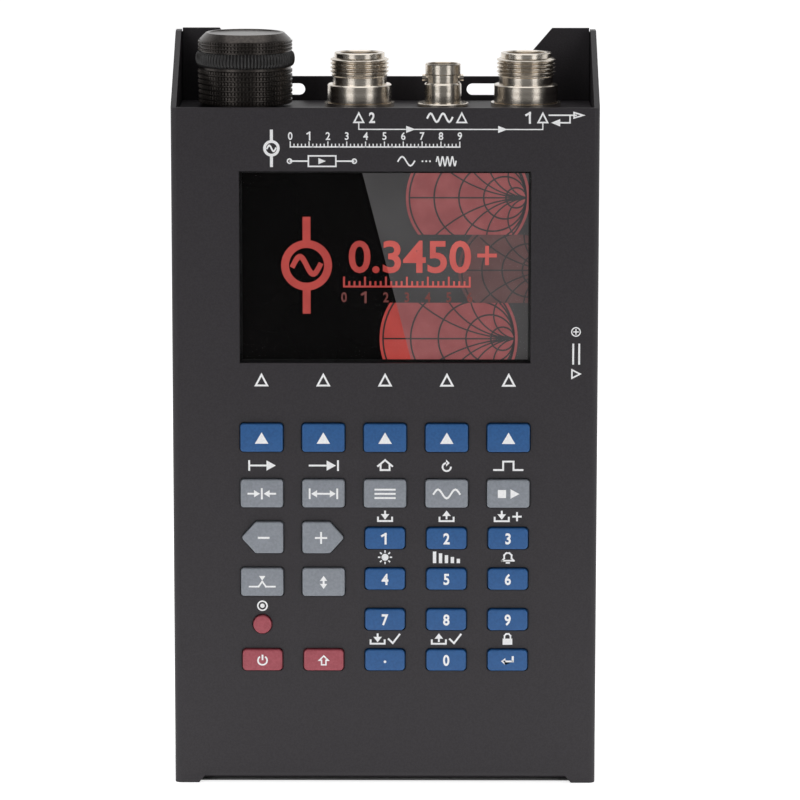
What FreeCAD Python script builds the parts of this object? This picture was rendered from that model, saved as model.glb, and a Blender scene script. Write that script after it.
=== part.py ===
import FreeCAD, Part
import os
import re
import Sketcher

# A handheld vector network analyzer: a bent sheet-metal case with a screen and a keypad
# in front, and a recessed connector panel with a tuning knob on top.
# +X is to the user's right, +Y runs from the front face to the back, +Z is up.
# Every piece is drawn in its own frame, whose Y counts from the outer front face.

os.makedirs("parts", exist_ok=True)
doc = FreeCAD.newDocument("NetworkAnalyzer")
Vector = FreeCAD.Vector

dimensions = {
    # case, bent from sheet
    "case_width": 114.0,
    "case_depth": 36.0,
    "front_height": 184.0,
    "side_rise": 17.8,
    "side_flat": 5.0,
    "sheet": 1.5,
    "bend_inside": 0.2,
    "panel_gap": 0.25,
    "foot_width": 6.5,
    "foot_slope": 2.4,
    "foot_tall": 3.0,
    # rear plate, with its slotted lip and corner ears
    "rear_bottom": 0.7,
    "lip_rise": 5.0,
    "ear_rise": 18.2,
    "ear_width": 10.0,
    "ear_slope": 11.4,
    "slot_width": 3.2,
    "slot_inner": 22.0,
    "slot_outer": 40.0,
    "slot_rise": 2.8,
    "slot_end_flat": 0.01,
    # connector panel and bottom panel, folded plates
    "panel_drop": 1.3,
    "panel_fold": 10.5,
    "fold_inside": 1.0,
    "floor_level": 0.7,
    # side brackets
    "bracket_leg": 10.0,
    "bracket_tall": 16.0,
    "bracket_level": 96.0,
    # screws and rubber feet of the rear plate
    "screw_shank": 2.9,
    "screw_long": 6.0,
    "screw_head": 5.6,
    "screw_head_thick": 1.8,
    "screw_hole_gap": 0.25,
    "screw_tap_gap": 0.05,
    "screw_inset": 17.0,
    "screw_edge": 6.5,
    "rubber_wide": 12.0,
    "rubber_thick": 3.0,
    "rubber_inset": 11.0,
    "rubber_low": 26.0,
    "rubber_drop": 24.0,
    # window and display
    "window_width": 77.8,
    "window_height": 51.6,
    "window_drop": 16.95,
    "glass_rim": 2.2,
    "glass_thick": 0.8,
    "frame_rim": 2.4,
    "frame_lip": 0.2,
    "view_inset": 0.7,
    "display_thick": 3.6,
    "seat_gap": 0.1,
    # keys
    "column_pitch": 16.55,
    "key_gap": 0.3,
    "key_proud": 1.1,
    "key_edge": 0.35,
    "key_flange": 1.1,
    "key_flange_thick": 0.9,
    "key_rest_gap": 0.15,
    "stem_wide": 2.8,
    "stem_entry": 0.55,
    "key_travel": 0.6,
    "big_width": 11.4,
    "big_height": 7.6,
    "big_corner": 0.85,
    "small_width": 10.7,
    "small_height": 5.75,
    "small_corner": 1.1,
    "round_wide": 4.95,
    "arrow_height": 8.55,
    "arrow_back": 5.7,
    "arrow_shoulder": 1.75,
    "arrow_tip": 5.6,
    "soft_level": 95.3,
    "function_level": 80.1,
    "arrow_level": 68.0,
    "lower_level": 55.8,
    "round_level": 44.1,
    "bottom_level": 34.3,
    "number_pitch": 11.17,
    # keypad board and its switches
    "board_thick": 1.6,
    "keypad_depth": 7.5,
    "keypad_side_gap": 3.5,
    "keypad_below": 7.3,
    "keypad_above": 4.7,
    "switch_wide": 6.0,
    "switch_thick": 3.6,
    "well_gap": 0.4,
    "well_spare": 0.6,
    "post_wide": 5.0,
    "post_inset": 5.0,
    "keypad_post_above": 4.0,
    "keypad_post_below": 3.0,
    # main board and what it carries
    "main_side_gap": 2.5,
    "main_drop": 13.5,
    "main_tall": 67.2,
    "main_post_above": 2.8,
    "main_post_below": 4.2,
    "shield_wide": 36.0,
    "shield_tall": 30.0,
    "shield_thick": 5.0,
    "shield_wall": 0.4,
    "shield_spread": 44.0,
    "shield_above": 34.0,
    "buzzer_wide": 12.0,
    "buzzer_thick": 6.0,
    "buzzer_above": 18.0,
    # power jack in the right-hand wall
    "jack_above": 10.5,
    "jack_long": 14.0,
    "jack_tall": 9.0,
    "jack_thick": 11.0,
    "jack_axis": 6.5,
    "jack_bore": 6.3,
    "jack_bore_deep": 9.5,
    "jack_pin": 2.1,
    "jack_hole_gap": 1.1,
    # batteries
    "cell_wide": 18.4,
    "cell_long": 65.0,
    "cell_gap": 0.3,
    "cell_cap": 6.0,
    "cell_cap_long": 0.8,
    "holder_wall": 1.5,
    "holder_low": 14.0,
    "holder_rim": 17.0,
    # connectors on the top panel
    "connector_depth": 18.0,
    "knob_across": 37.7,
    "port_right": 37.7,
    "port_left": 7.0,
    "bayonet_right": 15.4,
    "fit_gap": 0.03,
    "hole_gap": 0.15,
    "port_shank": 15.6,
    "port_tail": 13.0,
    "port_hole_gap": 0.2,
    "port_washer": 18.8,
    "washer_thick": 1.1,
    "port_collar": 17.2,
    "collar_top": 6.0,
    "port_relief": 14.5,
    "relief_top": 8.4,
    "port_thread": 15.875,
    "thread_top": 12.9,
    "port_pilot": 13.6,
    "port_top": 14.5,
    "port_bore": 8.4,
    "port_bore_floor": 5.0,
    "port_dielectric": 7.0,
    "port_contact": 3.05,
    "port_contact_top": 9.3,
    "contact_socket": 1.66,
    "contact_pin": 1.3,
    "contact_reach": 17.0,
    "pin_gap": 0.05,
    "port_nut_wall": 1.7,
    "port_nut_thick": 3.0,
    "bayonet_shank": 9.5,
    "bayonet_tail": 11.0,
    "bayonet_flange": 13.8,
    "bayonet_flange_thick": 1.0,
    "bayonet_collar": 9.9,
    "bayonet_collar_top": 6.2,
    "bayonet_waist": 9.0,
    "bayonet_waist_top": 8.65,
    "bayonet_barrel": 9.6,
    "bayonet_top": 11.5,
    "bayonet_bore": 8.1,
    "bayonet_floor": 3.0,
    "bayonet_dielectric": 6.0,
    "bayonet_sleeve": 4.8,
    "bayonet_sleeve_top": 9.3,
    "bayonet_contact": 2.1,
    "bayonet_contact_top": 9.0,
    "bayonet_socket": 1.35,
    "lug_across": 11.1,
    "lug_wide": 1.9,
    "lug_level": 7.65,
    "bayonet_nut_wall": 1.6,
    "bayonet_nut_thick": 2.4,
    # rotary encoder and tuning knob
    "encoder_wide": 12.4,
    "encoder_tall": 6.5,
    "bush_wall": 0.5,
    "bush_top": 5.0,
    "encoder_nut_wall": 1.5,
    "encoder_nut_thick": 2.0,
    "shaft_wide": 6.0,
    "shaft_play": 0.04,
    "shaft_low": 5.5,
    "shaft_top": 15.0,
    "knob_low": 0.9,
    "knob_wide": 25.4,
    "ring_low": 10.75,
    "ring_high": 14.85,
    "ring_seat_deep": 0.8,
    "ring_proud": 0.65,
    "knurl_top": 18.0,
    "knob_top": 19.8,
    "knob_chamfer": 2.2,
    "dish_rim": 1.0,
    "dish_deep": 0.5,
    "hub_gap": 1.5,
    "hub_recess": 18.0,
    "shaft_end_gap": 0.8,
    "margin": 1.0,
}

sheet = doc.addObject("Spreadsheet::Sheet", "Dims")
for row, (alias, value) in enumerate(dimensions.items(), start=1):
    sheet.set(f"A{row}", alias)
    sheet.set(f"B{row}", str(value))
    sheet.setAlias(f"B{row}", alias)
doc.recompute()

# Y of the outer front face: the part is centred between the key caps and the rubber feet.
FRONT = "(key_proud - rubber_thick - case_depth) / 2"
# Depth of the rear plate's inner face, and of the main board's front face.
REAR = "(case_depth - sheet)"
MAIN = "(connector_depth + contact_pin/2 + pin_gap)"
# Half the width between the side walls, and half of each board's width.
INNER = "(case_width/2 - sheet)"
KEYPAD_HALF = f"({INNER} - keypad_side_gap)"
MAIN_HALF = f"({INNER} - main_side_gap)"
# Outer bend radii, which follow the sheet.
BEND = "(bend_inside + sheet)"
FOLD = "(fold_inside + sheet)"
# Levels that follow the top of the front face.
SIDE_TOP = "(front_height + side_rise)"
EAR_TOP = "(front_height + ear_rise)"
LIP_TOP = "(front_height + lip_rise)"
PANEL = "(front_height - panel_drop)"
WINDOW = "(front_height - window_drop - window_height/2)"
MAIN_HIGH = f"({PANEL} - main_drop)"
MAIN_LOW = f"({MAIN_HIGH} - main_tall)"
# Levels that follow the keys.
KEYPAD_LOW = "(bottom_level - keypad_below)"
KEYPAD_HIGH = "(soft_level + keypad_above)"
# Sizes that follow what they hold or pass.
SCREW_ACROSS = "(case_width/2 - screw_inset)"
SCREW_HOLE = "(screw_shank + 2*screw_hole_gap)"
SCREW_TAPPED = "(screw_shank + 2*screw_tap_gap)"
VIEW_WIDE = "(window_width - 2*view_inset)"
VIEW_TALL = "(window_height - 2*view_inset)"
FLANGE_NEAR = "(sheet + key_rest_gap)"
FLANGE_FAR = f"({FLANGE_NEAR} + key_flange_thick)"
SWITCH_NEAR = "(keypad_depth - switch_thick)"
BUSH = "(shaft_wide + 2*bush_wall)"
RING_SEAT = "(knob_wide - 2*ring_seat_deep)"
KNOB_TOP_WIDE = "(knob_wide - 2*knob_chamfer)"


def bound(text):
    """Point each of the sheet's names in an expression at its cell."""
    return re.sub(r"[a-z_]+", lambda word: "Dims." * (word[0] in dimensions) + word[0], str(text))


def value_of(text):
    """The present value of an expression in the sheet's names, in millimetres."""
    return float(sheet.evalExpression(bound(text)))


def set_place(piece, across="0", depth="0", level="0"):
    """Bind a piece's placement, with its depth counted from the front face."""
    piece.setExpression(".Placement.Base.x", bound(across))
    piece.setExpression(".Placement.Base.y", bound(f"{FRONT} + ({depth})"))
    piece.setExpression(".Placement.Base.z", bound(level))


# ---- sketched pieces -------------------------------------------------------------------

def new_body(label, across="0", depth="0", level="0"):
    body = doc.addObject("PartDesign::Body", label)
    body.Label = label
    set_place(body, across, depth, level)
    return body


def new_sketch(body, role, offset):
    """A sketch on one of the body's origin planes, moved along that plane's normal."""
    sketch = body.newObject("Sketcher::SketchObject", body.Label + "_sketch")
    plane = [feature for feature in body.Origin.OriginFeatures if feature.Role == role][0]
    sketch.AttachmentSupport = [(plane, "")]
    sketch.MapMode = "FlatFace"
    sketch.setExpression(".AttachmentOffset.Base.z", bound(offset))
    return sketch


def pin_point(sketch, geometry, vertex, across, level):
    """Hold one point of a sketch at two bound distances from the sketch's origin."""
    for direction, text in (("DistanceX", across), ("DistanceY", level)):
        distance = Sketcher.Constraint(direction, -1, 1, geometry, vertex, value_of(text))
        index = sketch.addConstraint(distance)
        sketch.setExpression(f"Constraints[{index}]", bound(text))


def polygon(sketch, corners):
    """A closed outline of straight lines through bound corners."""
    first = sketch.GeometryCount
    places = [Vector(value_of(across), value_of(level), 0) for across, level in corners]
    count = len(corners)
    for side in range(count):
        line = Part.LineSegment(places[side], places[(side + 1) % count])
        sketch.addGeometry(line, False)
    for side in range(count):
        after = first + (side + 1) % count
        sketch.addConstraint(Sketcher.Constraint("Coincident", first + side, 2, after, 1))
    for side, (across, level) in enumerate(corners):
        pin_point(sketch, first + side, 1, across, level)


def rectangle(sketch, across, level, wide, tall):
    """A rectangle about a bound centre."""
    left, right = f"({across}) - ({wide})/2", f"({across}) + ({wide})/2"
    low, high = f"({level}) - ({tall})/2", f"({level}) + ({tall})/2"
    polygon(sketch, [(left, low), (right, low), (right, high), (left, high)])


def circle(sketch, across, level, wide):
    """A circle of bound diameter about a bound centre."""
    centre = Vector(value_of(across), value_of(level), 0)
    geometry = Part.Circle(centre, Vector(0, 0, 1), value_of(wide) / 2)
    first = sketch.addGeometry(geometry, False)
    pin_point(sketch, first, 3, across, level)
    index = sketch.addConstraint(Sketcher.Constraint("Diameter", first, value_of(wide)))
    sketch.setExpression(f"Constraints[{index}]", bound(wide))


def grow(body, sketch, length):
    """Pad a sketch along its plane's normal."""
    pad = body.newObject("PartDesign::Pad", body.Label + "_pad")
    pad.Profile = sketch
    pad.setExpression("Length", bound(length))
    doc.recompute()
    return pad


def carve(body, sketch, length):
    """Pocket a sketch against its plane's normal."""
    pocket = body.newObject("PartDesign::Pocket", body.Label + "_pocket")
    pocket.Profile = sketch
    pocket.setExpression("Length", bound(length))
    doc.recompute()
    return pocket


def front_sketch(body, depth):
    """A sketch parallel to the front face: its normal points to the user."""
    return new_sketch(body, "XZ_Plane", f"-({depth})")


def plan_sketch(body, level="0"):
    return new_sketch(body, "XY_Plane", level)


def side_sketch(body, across):
    return new_sketch(body, "YZ_Plane", across)


def spin(body, corners):
    """Turn a closed outline of (radius, height) corners about the body's Z axis."""
    sketch = new_sketch(body, "XZ_Plane", "0")
    polygon(sketch, corners)
    turned = body.newObject("PartDesign::Revolution", body.Label + "_turned")
    turned.Profile = sketch
    turned.ReferenceAxis = (sketch, ["V_Axis"])
    turned.Angle = 360
    doc.recompute()
    return turned


def round_edges(body, radius, wanted):
    """Round the tip's straight or curved edges that wanted(edge) picks."""
    base = body.Tip
    names = [f"Edge{number}" for number, edge in enumerate(base.Shape.Edges, start=1) if wanted(edge)]
    fillet = body.newObject("PartDesign::Fillet", body.Label + "_round")
    fillet.Base = (base, names)
    fillet.setExpression("Radius", bound(radius))
    doc.recompute()
    return fillet


def runs_along(edge, axis):
    """True for a straight edge parallel to one of the axes x, y or z."""
    if edge.Curve.TypeId != "Part::GeomLine":
        return False
    return abs(getattr(edge.Curve.Direction, axis)) > 0.999


def stands_at(edge, across, depth):
    """True for an edge parallel to Z at a given plan position."""
    middle = edge.BoundBox.Center
    near = abs(middle.x - value_of(across)) < 0.01 and abs(middle.y - value_of(depth)) < 0.01
    return runs_along(edge, "z") and near


# ---- grouped pieces --------------------------------------------------------------------

def cylinder(name, wide, tall, across, depth, level, axis="z"):
    """A cylinder whose base centre is bound, along X, Y or Z."""
    solid = doc.addObject("Part::Cylinder", name)
    turns = {"x": (Vector(0, 1, 0), 90), "y": (Vector(1, 0, 0), -90), "z": (Vector(0, 0, 1), 0)}
    solid.Placement.Rotation = FreeCAD.Rotation(*turns[axis])
    solid.setExpression("Radius", bound(f"({wide})/2"))
    solid.setExpression("Height", bound(tall))
    set_place(solid, across, depth, level)
    return solid


def block(name, wide, thick, tall, across, depth, level):
    """A box whose lowest, front, left corner is bound."""
    solid = doc.addObject("Part::Box", name)
    solid.setExpression("Length", bound(wide))
    solid.setExpression("Width", bound(thick))
    solid.setExpression("Height", bound(tall))
    set_place(solid, across, depth, level)
    return solid


def subtract(name, base, tool):
    cut = doc.addObject("Part::Cut", name)
    cut.Base = base
    cut.Tool = tool
    return cut


def gather(label, members):
    """Several solids as one sub-part."""
    group = doc.addObject("Part::MultiFuse", label)
    group.Label = label
    group.Shapes = members
    return group


# ---- the keys: one list sets the caps, the holes in the case and the switches -----------

def column(number):
    """Centre of one of the five key columns, counted from the left."""
    return f"column_pitch * ({number} - 3)"


def box_outline(wide, tall):
    """Corners of a cap about its own centre, grown by a bound amount."""
    def corners(grown):
        half, high = f"(({wide})/2 + {grown})", f"(({tall})/2 + {grown})"
        return [(f"-{half}", f"-{high}"), (half, f"-{high}"), (half, high), (f"-{half}", high)]
    return corners


def arrow_outline(side):
    """Corners of an arrow cap: a square back and a pointed front towards one side."""
    def corners(grown):
        high = f"(arrow_height/2 + {grown})"
        back = f"(-{side} * (arrow_back + {grown}))"
        shoulder = f"({side} * (arrow_shoulder + {grown}/2))"
        tip = f"({side} * (arrow_tip + {grown}))"
        return [(back, f"-{high}"), (shoulder, f"-{high}"), (tip, "0"), (shoulder, high), (back, high)]
    return corners


def round_outline(grown):
    return f"round_wide + 2 * ({grown})"


big_cap = box_outline("big_width", "big_height")
small_cap = box_outline("small_width", "small_height")
keys = []
for number in range(1, 6):
    keys.append((f"soft_key_{number}", column(number), "soft_level", big_cap, "big_corner"))
for number in range(1, 6):
    keys.append((f"function_key_{number}", column(number), "function_level", big_cap, "big_corner"))
keys.append(("decrease_key", column(1), "arrow_level", arrow_outline("-1"), "big_corner"))
keys.append(("increase_key", column(2), "arrow_level", arrow_outline("1"), "big_corner"))
keys.append(("marker_key", column(1), "lower_level", big_cap, "big_corner"))
keys.append(("sweep_key", column(2), "lower_level", big_cap, "big_corner"))
keys.append(("round_key", column(1), "round_level", round_outline, "small_corner"))
keys.append(("power_key", column(1), "bottom_level", small_cap, "small_corner"))
keys.append(("shift_key", column(2), "bottom_level", small_cap, "small_corner"))
number_names = ["key_point", "key_zero", "enter_key", "key_seven", "key_eight", "key_nine",
                "key_four", "key_five", "key_six", "key_one", "key_two", "key_three"]
for index, name in enumerate(number_names):
    level = f"bottom_level + number_pitch * {index // 3}"
    keys.append((name, column(3 + index % 3), level, small_cap, "small_corner"))


def draw_cap(sketch, outline, grown, across="0", level="0"):
    """Draw a key's outline, grown all round, about a bound centre."""
    if outline is round_outline:
        circle(sketch, across, level, round_outline(grown))
        return
    moved = [(f"({across}) + {x}", f"({level}) + {z}") for x, z in outline(grown)]
    polygon(sketch, moved)


def make_key(name, across, level, outline, corner):
    """A moulded cap with a flange behind the case and a stem that enters its switch."""
    body = new_body(name, across, "0", level)
    cap = front_sketch(body, FLANGE_NEAR)
    draw_cap(cap, outline, "0")
    grow(body, cap, f"{FLANGE_NEAR} + key_proud")
    if outline is not round_outline:
        round_edges(body, corner, lambda edge: runs_along(edge, "y"))
    face = -value_of("key_proud")
    round_edges(body, "key_edge", lambda edge: edge.BoundBox.YMax < face + 0.01)
    flange = front_sketch(body, FLANGE_FAR)
    draw_cap(flange, outline, "key_flange")
    grow(body, flange, "key_flange_thick")
    stem = front_sketch(body, f"{SWITCH_NEAR} + stem_entry")
    circle(stem, "0", "0", "stem_wide")
    grow(body, stem, f"{SWITCH_NEAR} + stem_entry - {FLANGE_FAR}")
    return body


# ---- case ------------------------------------------------------------------------------

def make_front_cover():
    """Front face and both side walls, bent from one sheet, with the key holes."""
    body = new_body("front_cover")
    plan = plan_sketch(body)
    half = "case_width/2"
    polygon(plan, [(f"-{half}", "0"), (half, "0"), (half, "case_depth"), (INNER, "case_depth"),
                   (INNER, "sheet"), (f"-({INNER})", "sheet"), (f"-({INNER})", "case_depth"),
                   (f"-{half}", "case_depth")])
    grow(body, plan, SIDE_TOP)
    round_edges(body, BEND, lambda edge: stands_at(edge, half, "0") or stands_at(edge, f"-{half}", "0"))
    round_edges(body, "bend_inside", lambda edge: stands_at(edge, INNER, "sheet")
                or stands_at(edge, f"-({INNER})", "sheet"))
    slope = side_sketch(body, "case_width/2 + margin")
    polygon(slope, [("-margin", "front_height"), (BEND, "front_height"),
                    ("case_depth - side_flat", SIDE_TOP), ("-margin", f"{SIDE_TOP} + margin")])
    carve(body, slope, "case_width + 2*margin")
    notch = front_sketch(body, "-margin")
    foot = "case_width/2 - foot_width"
    shoulder = f"{foot} - foot_slope"
    polygon(notch, [(f"-({foot})", "-margin"), (foot, "-margin"), (foot, "0"), (shoulder, "foot_tall"),
                    (f"-({shoulder})", "foot_tall"), (f"-({foot})", "0")])
    carve(body, notch, "sheet + 2*margin")
    window = front_sketch(body, "-margin")
    rectangle(window, "0", WINDOW, "window_width", "window_height")
    carve(body, window, "sheet + 2*margin")
    for level in sorted({key[2] for key in keys}):
        holes = front_sketch(body, "-margin")
        for name, across, height, outline, corner in keys:
            if height == level:
                draw_cap(holes, outline, "key_gap", across, height)
        carve(body, holes, "sheet + 2*margin")
    ceiling = value_of("soft_level + big_height")
    floor = value_of("foot_tall + margin")
    round_edges(body, "big_corner + key_gap", lambda edge: runs_along(edge, "y")
                and edge.Length < value_of("sheet + 0.01") and floor < edge.BoundBox.Center.z < ceiling)
    jack = side_sketch(body, "case_width/2 + margin")
    circle(jack, f"{MAIN} - jack_axis", f"{MAIN_LOW} + jack_above", "jack_bore + 2*jack_hole_gap")
    carve(body, jack, "sheet + 2*margin")
    return body


def make_back_cover():
    """Rear plate between the side walls, with a slotted lip and two ears above it."""
    body = new_body("back_cover")
    outline = front_sketch(body, "case_depth")
    side = f"({INNER} - panel_gap)"
    flat = f"({side} - ear_width)"
    root = f"({flat} - ear_slope)"
    right = [(root, LIP_TOP), (flat, EAR_TOP), (side, EAR_TOP), (side, "rear_bottom")]
    left = [(f"-{across}", level) for across, level in reversed(right)]
    polygon(outline, right + left)
    grow(body, outline, "sheet")
    holes = front_sketch(body, f"{REAR} - margin")
    for side in ("-1", "1"):
        across = f"{side} * (slot_inner + slot_outer)/2"
        rectangle(holes, across, f"{PANEL} + slot_rise", "slot_outer - slot_inner", "slot_width")
        for level in (f"{PANEL} - screw_edge", "floor_level + screw_edge"):
            circle(holes, f"{side} * {SCREW_ACROSS}", level, SCREW_HOLE)
        circle(holes, f"{side} * ({INNER} - bracket_leg/2)", "bracket_level", SCREW_HOLE)
    carve(body, holes, "sheet + 2*margin")
    level = value_of(f"{PANEL} + slot_rise")
    round_edges(body, "slot_width/2 - slot_end_flat", lambda edge: runs_along(edge, "y")
                and abs(edge.BoundBox.Center.z - level) < value_of("slot_width/2 + 0.01"))
    return body


def make_folded_panel(label, level, down):
    """A plate between the side walls, folded at its front and rear edges."""
    body = new_body(label, level=level)
    fold = side_sketch(body, f"-({INNER} - panel_gap)")
    near, far = "sheet", REAR
    turn = "-1" if down else "1"
    polygon(fold, [(near, "0"), (near, f"{turn}*panel_fold"), ("2*sheet", f"{turn}*panel_fold"),
                   ("2*sheet", f"{turn}*sheet"), (f"{far} - sheet", f"{turn}*sheet"),
                   (f"{far} - sheet", f"{turn}*panel_fold"), (far, f"{turn}*panel_fold"), (far, "0")])
    grow(body, fold, f"2*({INNER} - panel_gap)")
    round_edges(body, FOLD, lambda edge: runs_along(edge, "x")
                and abs(edge.BoundBox.Center.z) < 0.01)
    corner = value_of("sheet")
    round_edges(body, "fold_inside", lambda edge: runs_along(edge, "x")
                and abs(abs(edge.BoundBox.Center.z) - corner) < 0.01)
    tapped = front_sketch(body, f"{REAR} - sheet - margin")
    for side in ("-1", "1"):
        circle(tapped, f"{side} * {SCREW_ACROSS}", f"{turn}*screw_edge", SCREW_TAPPED)
    carve(body, tapped, "sheet + 2*margin")
    return body


def make_connector_panel():
    body = make_folded_panel("connector_panel", PANEL, True)
    holes = plan_sketch(body, "margin")
    circle(holes, "port_right", "connector_depth", "port_shank + 2*port_hole_gap")
    circle(holes, "-port_left", "connector_depth", "port_shank + 2*port_hole_gap")
    circle(holes, "bayonet_right", "connector_depth", "bayonet_shank + 2*hole_gap")
    circle(holes, "-knob_across", "connector_depth", f"{BUSH} + 2*hole_gap")
    carve(body, holes, "sheet + 2*margin")
    return body


def make_side_brackets():
    """Angles welded inside the side walls, tapped for the rear plate's middle screws."""
    angles = []
    for side, name in (("1", "right"), ("-1", "left")):
        low = f"{INNER} - bracket_leg" if side == "1" else f"-({INNER})"
        wall = f"{INNER} - sheet" if side == "1" else f"-({INNER})"
        level = "bracket_level - bracket_tall/2"
        flange = block(name + "_flange", "bracket_leg", "sheet", "bracket_tall",
                       low, f"{REAR} - sheet", level)
        leg = block(name + "_leg", "sheet", "bracket_leg", "bracket_tall",
                    wall, f"{REAR} - bracket_leg", level)
        hole = cylinder(name + "_tapped", SCREW_TAPPED, "sheet + 2*margin",
                        f"{side} * ({INNER} - bracket_leg/2)", f"{REAR} - sheet - margin",
                        "bracket_level", "y")
        angles.append(subtract(name + "_angle", gather(name + "_blank", [flange, leg]), hole))
    return gather("side_brackets", angles)


def make_back_screws():
    """Six pan-head screws through the rear plate."""
    places = []
    for side in ("-1", "1"):
        for level in (f"{PANEL} - screw_edge", "floor_level + screw_edge"):
            places.append((f"{side} * {SCREW_ACROSS}", level))
        places.append((f"{side} * ({INNER} - bracket_leg/2)", "bracket_level"))
    members = []
    for number, (across, level) in enumerate(places):
        members.append(cylinder(f"screw_head_{number}", "screw_head", "screw_head_thick",
                                across, "case_depth", level, "y"))
        members.append(cylinder(f"screw_shank_{number}", "screw_shank", "screw_long",
                                across, "case_depth - screw_long", level, "y"))
    return gather("back_screws", members)


def make_rubber_feet():
    """Four rubber discs stuck to the rear plate."""
    members = []
    for side in ("-1", "1"):
        for level in ("rubber_low", "front_height - rubber_drop"):
            members.append(cylinder("rubber_disc", "rubber_wide", "rubber_thick",
                                    f"{side} * (case_width/2 - rubber_inset)", "case_depth", level, "y"))
    return gather("rubber_feet", members)


# ---- display ---------------------------------------------------------------------------

def make_display_window():
    """Clear protective plate behind the case's window."""
    body = new_body("display_window", level=WINDOW)
    plate = front_sketch(body, "sheet + glass_thick")
    rectangle(plate, "0", "0", "window_width + 2*glass_rim", "window_height + 2*glass_rim")
    grow(body, plate, "glass_thick")
    return body


def make_display_frame():
    """Moulded frame that holds the window plate and the display module."""
    body = new_body("display_frame", level=WINDOW)
    far = "sheet + glass_thick + frame_lip + display_thick"
    rim = front_sketch(body, far)
    rectangle(rim, "0", "0", "window_width + 2*glass_rim + 2*frame_rim",
              "window_height + 2*glass_rim + 2*frame_rim")
    grow(body, rim, "glass_thick + frame_lip + display_thick")
    seat = front_sketch(body, "sheet - margin")
    seat_wide = "window_width + 2*glass_rim + 2*seat_gap"
    seat_tall = "window_height + 2*glass_rim + 2*seat_gap"
    rectangle(seat, "0", "0", seat_wide, seat_tall)
    carve(body, seat, "glass_thick + margin")
    view = front_sketch(body, "sheet")
    rectangle(view, "0", "0", VIEW_WIDE, VIEW_TALL)
    carve(body, view, "glass_thick + frame_lip + display_thick + margin")
    pocket = front_sketch(body, "sheet + glass_thick + frame_lip")
    rectangle(pocket, "0", "0", seat_wide, seat_tall)
    carve(body, pocket, "display_thick + margin")
    return body


def make_display_panel():
    """Liquid-crystal module behind the frame's lip."""
    body = new_body("display_panel", level=WINDOW)
    panel = front_sketch(body, "sheet + glass_thick + frame_lip + display_thick")
    rectangle(panel, "0", "0", "window_width + 2*glass_rim", "window_height + 2*glass_rim")
    grow(body, panel, "display_thick")
    return body


# ---- boards ----------------------------------------------------------------------------

def make_board(label, half, low, high, depth):
    body = new_body(label)
    outline = front_sketch(body, f"{depth} + board_thick")
    rectangle(outline, "0", f"({low} + {high})/2", f"2*{half}", f"{high} - {low}")
    grow(body, outline, "board_thick")
    return body


def make_key_switches():
    """One switch behind each key, with a round well for the key's stem."""
    housings = []
    wells = []
    deep = "stem_entry + key_travel + well_spare"
    for name, across, level, outline, corner in keys:
        housings.append(block(name + "_housing", "switch_wide", "switch_thick", "switch_wide",
                              f"{across} - switch_wide/2", SWITCH_NEAR, f"{level} - switch_wide/2"))
        wells.append(cylinder(name + "_well", "stem_wide + 2*well_gap", f"{deep} + margin",
                              across, f"{SWITCH_NEAR} - margin", level, "y"))
    blanks = gather("switch_housings", housings)
    return subtract("key_switches", blanks, gather("switch_wells", wells))


def make_board_standoffs():
    """Round posts from the case's front face to the two boards."""
    low = f"({KEYPAD_LOW} + keypad_post_above)"
    high = f"({KEYPAD_HIGH} - keypad_post_below)"
    members = []
    for side in ("-1", "1"):
        for level in (low, f"({low} + {high})/2", high):
            members.append(cylinder("keypad_post", "post_wide", "keypad_depth - sheet",
                                    f"{side} * ({KEYPAD_HALF} - post_inset)", "sheet", level, "y"))
        for level in (f"{MAIN_LOW} + main_post_above", f"{MAIN_HIGH} - main_post_below"):
            members.append(cylinder("main_post", "post_wide", f"{MAIN} - sheet",
                                    f"{side} * ({MAIN_HALF} - post_inset)", "sheet", level, "y"))
    return gather("board_standoffs", members)


def make_rf_shields():
    """Two tinned lids over the circuits on the back of the main board."""
    cans = []
    near = f"{MAIN} + board_thick"
    for side in ("-1", "1"):
        left = f"{side} * shield_spread/2 - shield_wide/2"
        low = f"{MAIN_LOW} + shield_above - shield_tall/2"
        outer = block("can", "shield_wide", "shield_thick", "shield_tall", left, near, low)
        inner = block("can_inside", "shield_wide - 2*shield_wall", "shield_thick - shield_wall + margin",
                      "shield_tall - 2*shield_wall", f"{left} + shield_wall", f"{near} - margin",
                      f"{low} + shield_wall")
        cans.append(subtract("can_shell", outer, inner))
    return gather("rf_shields", cans)


def make_buzzer():
    body = new_body("buzzer", f"buzzer_wide - {MAIN_HALF}", "0", f"{MAIN_LOW} + buzzer_above")
    disc = front_sketch(body, MAIN)
    circle(disc, "0", "0", "buzzer_wide")
    grow(body, disc, "buzzer_thick")
    return body


def make_power_jack():
    """Coaxial power socket on the main board, facing the right-hand wall's hole."""
    body = new_body("power_jack", INNER, f"{MAIN} - jack_axis", f"{MAIN_LOW} + jack_above")
    shell = side_sketch(body, "-jack_long")
    rectangle(shell, "jack_axis - jack_thick/2", "0", "jack_thick", "jack_tall")
    grow(body, shell, "jack_long - panel_gap")
    bore = side_sketch(body, "margin")
    circle(bore, "0", "0", "jack_bore")
    carve(body, bore, "jack_bore_deep + margin")
    pin = side_sketch(body, "-jack_bore_deep - margin")
    circle(pin, "0", "0", "jack_pin")
    grow(body, pin, "jack_bore_deep + margin - 2*panel_gap")
    return body


# ---- batteries -------------------------------------------------------------------------

CELL_DEPTH = f"{REAR} - holder_wall - cell_gap - cell_wide/2"
CELL_PITCH = "(cell_wide + cell_gap)"
CELL_LOW = "holder_low + holder_wall + cell_gap + cell_wide/2"
HOLDER_INSIDE = "(cell_long + cell_cap_long + 2*cell_gap)"


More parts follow.
